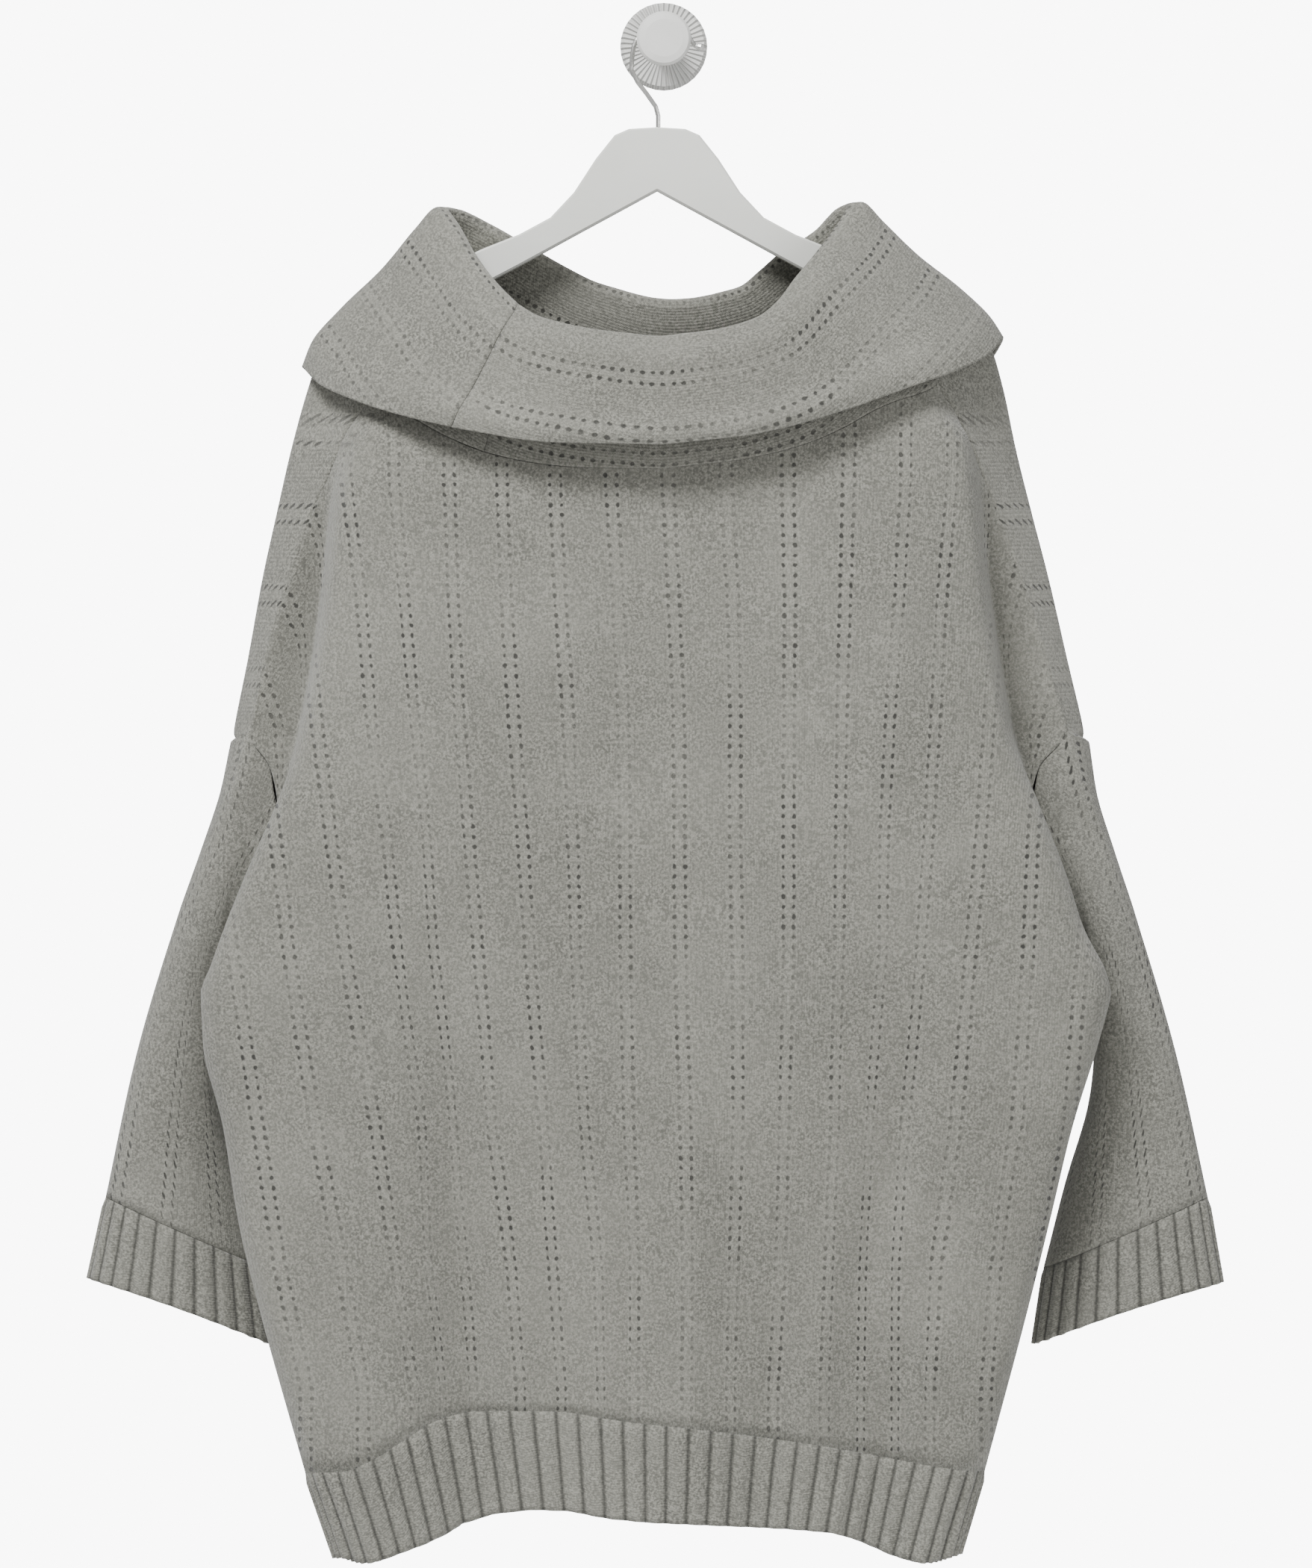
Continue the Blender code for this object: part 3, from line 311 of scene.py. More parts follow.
def place(seen):
    """Places as seen (across, depth, drop) in millimetres, as true places in metres."""
    seen = np.asarray(seen, float)
    scale = (seen[..., 1] - HANGER_DEPTH + EYE_AWAY) / EYE_AWAY
    true = np.empty_like(seen)
    true[..., 0] = EYE_ACROSS + (seen[..., 0] - EYE_ACROSS) * scale
    true[..., 1] = seen[..., 1]
    true[..., 2] = -EYE_DROP + (EYE_DROP - seen[..., 2]) * scale - KNOB_RISE
    return true * MM


def folds(of, across, drop):
    """How far the upright folds move the cloth back at each place."""
    moved = np.zeros_like(across)
    for top, hem, start, full, spread, depth in zip(*of.values()):
        line = top + (hem - top) * ramp(drop, start, full)
        strength = ramp(drop, start, full)
        moved += depth * strength * np.exp(-((across - line) / spread) ** 2)
    return moved


def front_at(col, drop):
    """The front panel's middle surface, by column (0 to FRONT_COLUMNS) and drop."""
    col, drop = np.broadcast_arrays(np.asarray(col, float), np.asarray(drop, float))
    edge_left = column(EDGE, "front_left", drop)
    edge_right = column(EDGE, "front_right", drop)
    edge_depth = column(EDGE, "front_depth", drop)
    fold_left = column(FRONT, "fold_left", drop)
    fold_right = column(FRONT, "fold_right", drop)
    fold_depth = column(FRONT, "fold_depth", drop)
    valley_depth = column(FRONT, "valley_depth", drop)
    face = column(FRONT, "face_depth", drop)
    middle = (fold_left + fold_right) / 2
    width = fold_right - fold_left
    last = FRONT_COLUMNS
    knots = (0, 1.7, 3, 4, 6, last / 2, last - 6, last - 4, last - 3, last - 1.7, last)
    across = ease(knots, np.array([
        edge_left, column(FRONT, "valley_left", drop), fold_left, fold_left + 0.014 * width,
        fold_left + 0.105 * width, middle, fold_right - 0.105 * width, fold_right - 0.014 * width,
        fold_right, column(FRONT, "valley_right", drop), edge_right]), col)
    shoulder = fold_depth + 0.55 * (face - fold_depth)
    inner = fold_depth + 0.9 * (face - fold_depth)
    depth = ease(knots, np.array([
        edge_depth, valley_depth, fold_depth, shoulder, inner, face, inner, shoulder,
        fold_depth, valley_depth, edge_depth]), col)
    flat = ramp(col, 3.2, 5.5) * ramp(last - col, 3.2, 5.5)
    depth = depth + flat * folds(FRONT_FOLDS, across, drop)
    return np.stack([across, depth, drop], axis=-1)


def back_at(col, drop):
    """The back panel's middle surface, by column (0 to BACK_COLUMNS) and drop."""
    col, drop = np.broadcast_arrays(np.asarray(col, float), np.asarray(drop, float))
    fold_left = column(BACK, "fold_left", drop)
    fold_right = column(BACK, "fold_right", drop)
    near_in = column(BACK, "near_in", drop)
    side_in = column(BACK, "side_in", drop)
    fold_depth = column(BACK, "fold_depth", drop)
    near_depth = column(BACK, "near_depth", drop)
    side_depth = column(BACK, "side_depth", drop)
    mid_depth = column(BACK, "mid_depth", drop)
    edge_depth = column(EDGE, "back_depth", drop)
    last = BACK_COLUMNS
    knots = (0, 2, 4, 7, last / 2, last - 7, last - 4, last - 2, last)
    across = ease(knots, np.array([
        column(EDGE, "back_left", drop), fold_left, fold_left + near_in, fold_left + side_in,
        (fold_left + fold_right) / 2, fold_right - side_in, fold_right - near_in, fold_right,
        column(EDGE, "back_right", drop)]), col)
    depth = ease(knots, np.array([
        edge_depth, fold_depth, near_depth, side_depth, mid_depth, side_depth, near_depth,
        fold_depth, edge_depth]), col)
    flat = ramp(col, 5, 9) * ramp(last - col, 5, 9)
    depth = depth + flat * folds(BACK_FOLDS, across, drop)
    return np.stack([across, depth, drop], axis=-1)


def collar_line(kind, turn):
    """The neck seam, the fold or the lower edge of the collar, at these turns."""
    return np.stack([ease(COLLAR["turn"], COLLAR[kind + part], turn)
                     for part in ("_across", "_depth", "_drop")], axis=-1)


def collar_at(turn, along):
    """The collar's middle surface: along is 0 at the neck seam, 0.5 on the fold, 1 at the edge."""
    turn = np.asarray(turn, float) % 1.0
    neck = collar_line("neck", turn)
    fold = collar_line("fold", turn)
    edge = collar_line("edge", turn)
    step = 0.004
    ahead = collar_line("neck", (turn + step) % 1.0) + collar_line("fold", (turn + step) % 1.0)
    behind = collar_line("neck", (turn - step) % 1.0) + collar_line("fold", (turn - step) % 1.0)
    round_way = ahead - behind
    up = fold - neck
    up /= np.linalg.norm(up, axis=-1, keepdims=True)
    out = np.cross(round_way, up)
    out /= np.linalg.norm(out, axis=-1, keepdims=True)
    swell = {name: ease(COLLAR_SWELL["turn"], COLLAR_SWELL[name], turn)[..., None]
             for name in ("sag", "upper", "trough", "lower")}
    lip = fold - 6 * up + 7 * out
    fall = edge - lip
    knots = (0, 0.24, 0.42, 0.5, 0.57, 0.68, 0.80, 0.91, 1.0)
    stations = (
        neck,
        neck + 0.5 * (fold - neck) - swell["sag"] * out,
        fold - 7 * up - 4.5 * out,
        fold,
        lip,
        lip + 0.25 * fall + swell["upper"] * out,
        lip + 0.55 * fall + swell["trough"] * out,
        lip + 0.84 * fall + swell["lower"] * out,
        edge,
    )
    values = np.array(stations)
    return np.stack([ease(knots, values[..., axis], along) for axis in range(3)], axis=-1)


def normals_of(points, closed=False):
    """Unit normals of a grid of points, rows by columns."""
    if closed:
        down_col = np.roll(points, -1, axis=1) - np.roll(points, 1, axis=1)
    else:
        down_col = np.gradient(points, axis=1)
    down_row = np.gradient(points, axis=0)
    normal = np.cross(down_col, down_row)
    length = np.linalg.norm(normal, axis=-1, keepdims=True)
    return normal / np.maximum(length, 1e-12)


def inset(points, normal, edges, closed=False):
    """Move the named edges of a grid back from their seams by half the gap."""
    moved = points.copy()
    sides = {"top": (0, 0, 1), "foot": (0, -1, -2), "start": (1, 0, 1), "end": (1, -1, -2)}
    for name in edges:
        axis, edge, inner = sides[name]
        at = (edge, slice(None)) if axis == 0 else (slice(None), edge)
        to = (inner, slice(None)) if axis == 0 else (slice(None), inner)
        line = points[at]
        if closed:
            seam = np.roll(line, -1, axis=0) - np.roll(line, 1, axis=0)
        else:
            seam = np.gradient(line, axis=0)
        way = np.cross(normal[at], seam)
        way /= np.maximum(np.linalg.norm(way, axis=-1, keepdims=True), 1e-12)
        inward = np.sum(way * (points[to] - line), axis=-1, keepdims=True)
        moved[at] += np.sign(inward) * way * SEAM_GAP / 2 * MM
    return moved

# Shares of the way from the neck seam to the first level row, and the level rows below it
NECK_SHARES = (0.0, 0.08, 0.2, 0.4, 0.7, 1.0)
LEVEL_TOP = 300.0
ARMHOLE_DROPS = (439.0, 447.0, 462.0, 490.0, 530.0, 565.0, 590.0, 599.0, 606.0)
LEVEL_DROPS = (340.0, 390.0) + ARMHOLE_DROPS + (640.0, 690.0, 750.0, 810.0)
ARMHOLE_ROW = len(NECK_SHARES) + 2
ARMHOLE_ROWS = len(ARMHOLE_DROPS)


def panel(surface, columns, turns):
    """A panel's middle points: from the neck seam, down level rows, to the rib's slanting top."""
    cols = np.arange(columns + 1, dtype=float)
    neck = collar_line("neck", turns)
    rows = []
    for share in NECK_SHARES:
        drop = neck[:, 2] + (LEVEL_TOP - neck[:, 2]) * share
        on_surface = surface(cols, drop)
        miss = neck - surface(cols, neck[:, 2])
        rows.append(on_surface + miss * (1 - share) ** 2)
    for drop in LEVEL_DROPS:
        rows.append(surface(cols, np.full(cols.size, drop)))
    across = surface(cols, np.full(cols.size, RIB_TOP_DROP))[:, 0]
    rows.append(surface(cols, ease(HEM["across"], HEM["rib_drop"], across)))
    return place(np.array(rows))


def front_turns():
    """The collar's turn at the head of each front column."""
    last = FRONT_COLUMNS
    knots = (0, 3, 6, 8, last / 2, last - 8, last - 6, last - 3, last)
    turns = (0.2, 0.187, 0.163, 0.12, 0.0, -0.12, -0.163, -0.187, -0.2)
    return ease(knots, turns, np.arange(last + 1)) % 1.0


def back_turns():
    """The collar's turn at the head of each back column; the shoulder fold sits over the arm."""
    last = BACK_COLUMNS
    knots = (0, 2, 4, 7, last / 2, last - 7, last - 4, last - 2, last)
    turns = (0.2, 0.243, 0.275, 0.31, 0.5, 0.69, 0.725, 0.757, 0.8)
    return ease(knots, turns, np.arange(last + 1))


def shared(first, second):
    """Make two arrays of seam normals the same, so that the two edges lie face to face."""
    mean = first + second
    mean /= np.linalg.norm(mean, axis=-1, keepdims=True)
    first[...] = mean
    second[...] = mean


def sleeve_loop(front, back, side):
    """The armhole's edge from the underarm, up the front, over the fold and down the back."""
    at = slice(ARMHOLE_ROW, ARMHOLE_ROW + ARMHOLE_ROWS)
    col = 0 if side == "left" else -1
    front_edge = front[at, col]
    back_edge = back[at, col]
    return split_loop(np.concatenate([front_edge[::-1], back_edge[1:-1]]))


def split_loop(corners):
    """The values at the sleeve's columns, from those at the corners of the armhole."""
    ahead = np.roll(corners, -1, axis=0)
    loop = []
    for here, there, splits in zip(corners, ahead, SLEEVE_SPLITS + SLEEVE_SPLITS[::-1]):
        for piece in range(splits):
            loop.append(here + (there - here) * piece / splits)
    return np.array(loop)


def oval(count, top_index):
    """Shares along the flat sleeve, and the swell in front and behind, for each column."""
    share = []
    swell = []
    for index in range(count):
        if index <= top_index:
            angle = math.pi * index / top_index
            share.append((1 - math.cos(angle)) / 2)
            swell.append(-SLEEVE_FRONT_SWELL * abs(math.sin(angle)) ** 0.8)
        else:
            angle = math.pi * (index - top_index) / (count - top_index)
            share.append((1 + math.cos(angle)) / 2)
            swell.append(SLEEVE_BACK_SWELL * abs(math.sin(angle)) ** 0.8)
    return np.array(share), np.array(swell)


def sleeve_points(loop, side):
    """The sleeve's middle points: rings from the armhole's loop to the flat cuff."""
    count = len(loop)
    top_index = SLEEVE_TOP_COLUMN
    share, swell = oval(count, top_index)
    out_way = -1 if side == "left" else 1
    rings = []
    for along in SLEEVE_ROWS:
        read = {name: float(ease(SLEEVE["share"], SLEEVE[name], [along])[0]) for name in SLEEVE}
        top = place([read["top_" + side], read["top_depth"], read["top_drop"]])
        under = place([read["under_" + side], read["under_depth"], read["under_drop"]])
        if not rings:
            first_under, first_way = loop[0], loop[top_index] - loop[0]
            local = loop - first_under
            length = np.linalg.norm(first_way)
            unit = first_way / length
            on_line = local @ unit / length
            off_line = local - np.outer(on_line * length, unit)
            rings.append(loop)
            continue
        grown = float(ramp(along, 0, 0.45))
        part_way = on_line + (share - on_line) * grown
        bulge = off_line * (1 - grown)
        bulge[:, 1] += swell * MM * grown
        spread = np.sqrt(np.clip(np.sin(math.pi * on_line), 0, 1)) * (1 - grown)
        bulge[:, 0] += spread * out_way * SLEEVE_SPREAD[0] * MM
        bulge[:, 2] += spread * SLEEVE_SPREAD[1] * MM
        rings.append(under + np.outer(part_way, top - under) + bulge)
    rings = np.array(rings)
    for _ in range(RELAX_PASSES):
        ahead = np.roll(rings, -1, axis=1)
        behind = np.roll(rings, 1, axis=1)
        mean = (ahead + behind) / 2
        mean[1:-1] = (mean[1:-1] + (rings[2:] + rings[:-2]) / 2) / 2
        rings[1:RELAX_ROWS + 1] += 0.5 * (mean - rings)[1:RELAX_ROWS + 1]
    return rings


def cuff_points(ring, side):
    """The cuff's middle points: two rings, with an extra column on each rib's crest."""
    top_across, top_drop, top_depth, under_across, under_drop, under_depth = CUFF_END[side]
    top = place([top_across, top_depth, top_drop])
    under = place([under_across, under_depth, under_drop])
    share, swell = oval(len(ring), SLEEVE_TOP_COLUMN)
    hollow = CUFF_HOLLOW * MM * 4 * share * (1 - share)
    end = under + np.outer(share, top - under)
    end[:, 1] += swell * MM
    end[:, 2] += hollow
    return with_crests(np.array([ring, end]), True)


def with_crests(points, closed, crests=1):
    """Add evenly spaced columns between the columns of a grid."""
    parts = 2 * crests
    cols = points.shape[1]
    made = []
    for col in range(cols if closed else cols - 1):
        here = points[:, col]
        there = points[:, (col + 1) % cols]
        for piece in range(parts):
            made.append(here + (there - here) * piece / parts)
    if not closed:
        made.append(points[:, -1])
    return np.array(made).transpose(1, 0, 2)


def rib_lift(rows, cols):
    """The raise of each column: every second one is a rib's crest."""
    lift = np.zeros((rows, cols))
    lift[1:, 1::2] = RIB_RAISE
    return lift


def hem_points(panel_points, surface, columns):
    """The hem rib's middle points, from the panel's last row to the hem's own line."""
    cols = np.arange(columns + 1, dtype=float)
    across = surface(cols, np.full(cols.size, HEM_DROP))[:, 0]
    end = place(surface(cols, ease(HEM["across"], HEM["end_drop"], across)))
    top = panel_points[-1]
    middle = (top + end) / 2
    return with_crests(np.array([top, middle, end]), False, RIBS_PER_COLUMN)


def match_armhole(front_normal, back_normal, sleeve_normal, col):
    """Give the body's armhole edges and the sleeve's first ring the same normals."""
    at = slice(ARMHOLE_ROW, ARMHOLE_ROW + ARMHOLE_ROWS)
    corner_columns = np.cumsum((0,) + SLEEVE_SPLITS + SLEEVE_SPLITS[::-1])
    ring = sleeve_normal[0][corner_columns % len(sleeve_normal[0])]
    front_edge = front_normal[at, col][::-1].copy()
    shared(front_edge, ring[:ARMHOLE_ROWS].copy())
    front_normal[at, col] = front_edge[::-1]
    back_edge = back_normal[at, col].copy()
    shared(back_edge, ring[ARMHOLE_ROWS - 1:].copy())
    back_edge[0] = front_edge[-1]
    back_edge[-1] = front_edge[0]
    back_normal[at, col] = back_edge
    mixed = split_loop(np.concatenate([front_edge, back_edge[1:-1]]))
    sleeve_normal[0] = mixed / np.linalg.norm(mixed, axis=-1, keepdims=True)


def cloth_grids():
    """Every cloth piece's middle points and outward normals, with its seams matched."""
    front = panel(front_at, FRONT_COLUMNS, front_turns())
    back = panel(back_at, BACK_COLUMNS, back_turns())
    front_normal = -normals_of(front)
    back_normal = normals_of(back)
    seam_rows = [row for row in range(len(front))
                 if row <= ARMHOLE_ROW or row >= ARMHOLE_ROW + ARMHOLE_ROWS - 1]
    for col in (0, -1):
        for row in seam_rows:
            shared(front_normal[row, col], back_normal[row, col])
    grids = {}
    for side in ("left", "right"):
        col = 0 if side == "left" else -1
        rings = sleeve_points(sleeve_loop(front, back, side), side)
        way = 1 if side == "left" else -1
        normal = way * normals_of(rings, closed=True)
        match_armhole(front_normal, back_normal, normal, col)
        cuff = cuff_points(rings[-1], side)
        cuff_normal = way * normals_of(cuff, closed=True)
        normal[-1] = cuff_normal[0, ::2]
        rings = inset(rings, normal, ("top", "foot"), closed=True)
        grids["sleeve_" + side] = (rings, normal)
        grids["cuff_" + side] = (inset(cuff, cuff_normal, ("top",), closed=True), cuff_normal)
    turns = np.concatenate([front_turns(), back_turns()[::-1][1:-1]])
    turns = np.concatenate([turns[COLLAR_SEAM_COLUMN:], turns[:COLLAR_SEAM_COLUMN + 1]])
    collar = place(np.array([collar_at(turns, np.full(turns.size, along)) for along in COLLAR_ROWS]))
    collar_normal = normals_of(collar)
    shared(collar_normal[:, 0], collar_normal[:, -1])
    head = np.concatenate([front_normal[0], back_normal[0][::-1][1:-1]])
    head = np.concatenate([head[COLLAR_SEAM_COLUMN:], head[:COLLAR_SEAM_COLUMN + 1]])
    if np.sum(head * collar_normal[0]) < 0:
        collar_normal = -collar_normal
    collar_normal[0] = head
    grids["collar"] = (inset(collar, collar_normal, ("top", "start", "end")), collar_normal)
    for name, points, surface, columns, way in (
            ("hem_rib_front", front, front_at, FRONT_COLUMNS, -1),
            ("hem_rib_back", back, back_at, BACK_COLUMNS, 1)):
        hem = hem_points(points, surface, columns)
        grids[name] = [hem, way * normals_of(hem)]
    for col in (0, -1):
        shared(grids["hem_rib_front"][1][:, col], grids["hem_rib_back"][1][:, col])
    front_normal[-1] = grids["hem_rib_front"][1][0, ::2 * RIBS_PER_COLUMN]
    back_normal[-1] = grids["hem_rib_back"][1][0, ::2 * RIBS_PER_COLUMN]
    for name in ("hem_rib_front", "hem_rib_back"):
        grids[name][0] = inset(grids[name][0], grids[name][1], ("top", "start", "end"))
    every_edge = ("top", "foot", "start", "end")
    grids["front_panel"] = (inset(front, front_normal, every_edge), front_normal)
    grids["back_panel"] = (inset(back, back_normal, every_edge), back_normal)
    return grids


def read_grid(grid, rows, cols, closed):
    """A coarse grid read smoothly at these row and column places."""
    margin = 0
    if closed:
        grid = np.concatenate([grid[:, -3:], grid, grid[:, :4]], axis=1)
        margin = 3
    count, width = grid.shape[:2]
    values = grid.reshape(count, -1)
    down = np.array([ease(np.arange(count), values, np.full(width * 3, row)) for row in rows])
    down = down.reshape(len(rows), width, 3).transpose(1, 0, 2).reshape(width, -1)
    size = len(rows) * 3
    made = np.array([ease(np.arange(width), down, np.full(size, col + margin)) for col in cols])
    return made.reshape(len(cols), len(rows), 3).transpose(1, 0, 2)


def as_seen(points):
    """Places in metres as across and drop seen from the front, in millimetres."""
    scale = (points[..., 1] / MM - HANGER_DEPTH + EYE_AWAY) / EYE_AWAY
    across = EYE_ACROSS + (points[..., 0] / MM - EYE_ACROSS) / scale
    drop = EYE_DROP - (points[..., 2] / MM + KNOB_RISE + EYE_DROP) / scale
    return across, drop


def arc(points, axis):
    """The length run along rows (axis 0) or columns (axis 1) of a grid, in millimetres."""
    step = np.linalg.norm(np.diff(points, axis=axis), axis=-1) / MM
    start = np.zeros_like(np.take(step, [0], axis=axis))
    return np.concatenate([start, np.cumsum(step, axis=axis)], axis=axis)


# The eyelet pairs of the front: a picture row, the first pair's number, and each pair's column
PAIRS = (
    (640, 3, (466, 527, 602, 672, 743, 818, 894, 971, 1055, 1137, 1214, 1274)),
    (799, 3, (485, 541, 607, 678, 750, 828, 902, 982, 1058, 1132, 1205, 1260)),
    (959, 2, (425, 498, 555, 615, 688, 761, 835, 909, 985, 1057, 1128, 1192, 1252, 1324)),
    (1118, 1, (370, 443, 519, 571, 627, 700, 767, 837, 910, 985, 1056, 1126, 1184, 1243, 1314, 1382)),
    (1277, 0, (313, 387, 463, 534, 580, 640, 710, 771, 837, 911, 988, 1056, 1124, 1183, 1232, 1299,
               1377, 1448)),
    (1499, 0, (345, 421, 502, 565, 606, 657, 728, 782, 841, 918, 989, 1050, 1119, 1165, 1211, 1280,
               1363, 1430)),
    (1699, 0, (376, 459, 532, 573, 621, 686, 740, 802, 849, 921, 982, 1045, 1111, 1155, 1199, 1252,
               1334, 1390)),
    (1858, 0, (411, 487, 557, 592, 633, 698, 752, 806, 848, 920, 978, 1035, 1105, 1152, 1199, 1244,
               1320, 1380)),
)
FOLD_LEFT = ((277, 353, 429, 504, 580, 686, 781, 857), (2.9, 2.15, 1.77, 0.83, -0.3, -0.6, -0.55, -0.5))
FOLD_RIGHT = ((277, 353, 429, 504, 580, 686, 781, 857),
              (14.43, 15.03, 15.32, 16.3, 17.2, 17.1, 17.25, 16.6))
EDGE_LEFT = ((250, 300, 352, 404, 439, 490, 606, 680), (3, 2, 1, 0, -0.65, 0, -1.25, -1.4))
EDGE_RIGHT = ((250, 300, 352, 404, 439, 490, 606, 680), (14.45, 15.4, 16.2, 17.1, 17.6, 17.1, 18.1, 18.2))
BACK_HALF = ((170, 200, 250, 300, 352, 404, 439, 462, 490, 530, 565),
             (5.2, 5.5, 6, 7, 8, 9, 9.7, 9.2, 8.6, 8, 7.8))
WALES = 20.0
PAIR_PITCH = 37.0
COURSE = 1.6
PIXEL = 2.1


def front_knit(points, cols):
    """Wales and courses of the front, with each eyelet pair where it hangs."""
    across, drop = as_seen(points)
    column_at = 889 + PIXEL * across
    row_at = 58.7 + PIXEL * drop
    read = []
    for _, first, places in PAIRS:
        xs = [places[0] - 370, *places, places[-1] + 370]
        numbers = [first - 5, *range(first, first + len(places)), first + len(places) + 4]
        read.append(np.interp(column_at, xs, numbers))
    read = np.array(read)
    heights = np.array([pair[0] for pair in PAIRS], float)
    cell = np.clip(np.searchsorted(heights, row_at) - 1, 0, len(heights) - 2)
    share = np.clip((row_at - heights[cell]) / (heights[cell + 1] - heights[cell]), 0, 1)
    upper = np.take_along_axis(read, cell[None], axis=0)[0]
    lower = np.take_along_axis(read, cell[None] + 1, axis=0)[0]
    number = upper + (lower - upper) * share
    cols = np.broadcast_to(cols, number.shape)
    last = FRONT_COLUMNS
    left = np.interp(drop, *EDGE_LEFT)
    left = left + (np.interp(drop, *FOLD_LEFT) - left) * cols / FRONT_EDGE
    right = np.interp(drop, *EDGE_RIGHT)
    right = right + (np.interp(drop, *FOLD_RIGHT) - right) * (last - cols) / FRONT_EDGE
    number = np.where(cols < FRONT_EDGE, left, np.where(cols > last - FRONT_EDGE, right, number))
    return np.stack([number * WALES, drop / COURSE], axis=-1)


def back_knit(points, cols):
    """Wales and courses of the back; over the shoulder its wales come forward nearly level."""
    _, drop = as_seen(points)
    half = np.interp(drop, *BACK_HALF)
    last = BACK_COLUMNS
    cols = np.broadcast_to(cols, drop.shape)
    share = np.clip((cols - 2) / (last - 4), 0, 1) * 2 - 1
    number = half * share
    over = np.clip(2 - cols, 0, 2) + np.clip(cols - last + 2, 0, 2)
    run = over * 18 * ramp(460 - drop, 0, 30)
    return np.stack([number * WALES, (drop + run) / COURSE], axis=-1)


def collar_knit(points, cols):
    """The collar's wales run round it; its eyelet pairs lie level, a little off at the seam."""
    height = arc(points, 0)
    fold = height[int(len(height) * 0.5)]
    number = (height - fold - 27 - 9 * (cols / cols[-1])) / PAIR_PITCH
    return np.stack([number * WALES, arc(points, 1).mean(axis=0) / COURSE + 0 * number], axis=-1)


def sleeve_knit(points, cols):
    """The sleeve's wales run along it, seven eyelet pairs in its round."""
    round_way = arc(points, 1)
    whole = round_way[:, -1:]
    top = np.array([np.interp(SLEEVE_TOP_COLUMN, cols, row) for row in round_way])[:, None]
    number = (round_way - top) / whole * 7 + 0.42
    return np.stack([number * WALES, arc(points, 0) / COURSE], axis=-1)


def rib_knit(ribs):
    """Ribs across a hem or cuff: one for each whole number."""
    def knit(points, cols):
        share = (cols - cols[0]) / (cols[-1] - cols[0])
        number = np.broadcast_to(share * ribs, points.shape[:2])
        return np.stack([number, arc(points, 0) / COURSE], axis=-1)
    return knit


# Creases: across and drop of both ends, half width and lift, in millimetres
FRONT_CREASES = ((-190, 300, -120, 470, 16, 2.4), (-150, 560, -40, 640, 22, -2.0),
                 (-60, 300, -95, 520, 18, 1.8), (20, 330, 60, 560, 20, -1.8),
                 (150, 320, 110, 500, 16, 2.2), (170, 560, 60, 660, 24, -2.2),
                 (-200, 640, -120, 800, 18, 2.0), (190, 640, 120, 790, 16, 1.8),
                 (-20, 640, 10, 840, 22, 1.6), (90, 700, 80, 860, 14, -1.6))
BACK_CREASES = ((-150, 260, -60, 420, 20, 2.2), (140, 260, 50, 430, 20, 2.0),
                (-190, 520, -70, 620, 24, -2.2), (170, 520, 60, 640, 22, -2.0),
                (-40, 420, -60, 700, 24, 1.8), (40, 500, 70, 780, 22, 1.8),
                (-120, 700, -130, 860, 16, 2.0), (120, 680, 110, 860, 16, -1.8))
SLEEVE_CREASES = ((0.15, 0.25, 0.35, 0.6, 0.06, 2.4), (0.3, 0.1, 0.45, 0.4, 0.05, -2.2),
                  (0.2, 0.7, 0.4, 0.9, 0.06, 2.0), (0.7, 0.2, 0.8, 0.6, 0.08, 2.2),
                  (0.6, 0.6, 0.75, 0.95, 0.07, -2.0))


def crease_lift(creases, across, drop):
    """How far soft creases lift the cloth along its normal, in millimetres."""
    lift = np.zeros_like(across)
    for x_from, drop_from, x_to, drop_to, width, height in creases:
        way = np.array([x_to - x_from, drop_to - drop_from], float)
        length = np.hypot(*way)
        way /= length
        along = (across - x_from) * way[0] + (drop - drop_from) * way[1]
        off = (across - x_from) * -way[1] + (drop - drop_from) * way[0]
        bend = off + 0.12 * length * np.sin(along / length * 2.6)
        ends = ramp(along, -0.2 * length, 0.3 * length) * ramp(length - along, -0.2 * length, 0.3 * length)
        lift += height * ends * np.exp(-(bend / width) ** 2)
    return lift


def edge_fade(count, width, reach, closed):
    """1 within a grid and 0 on its seams, so that creases never open a seam."""
    rows = np.arange(count)[:, None] / (count - 1)
    cols = np.arange(width)[None, :] / (width - 1)
    fade = ramp(rows, 0, reach) * ramp(1 - rows, 0, reach)
    return fade if closed else fade * ramp(cols, 0, reach) * ramp(1 - cols, 0, reach)


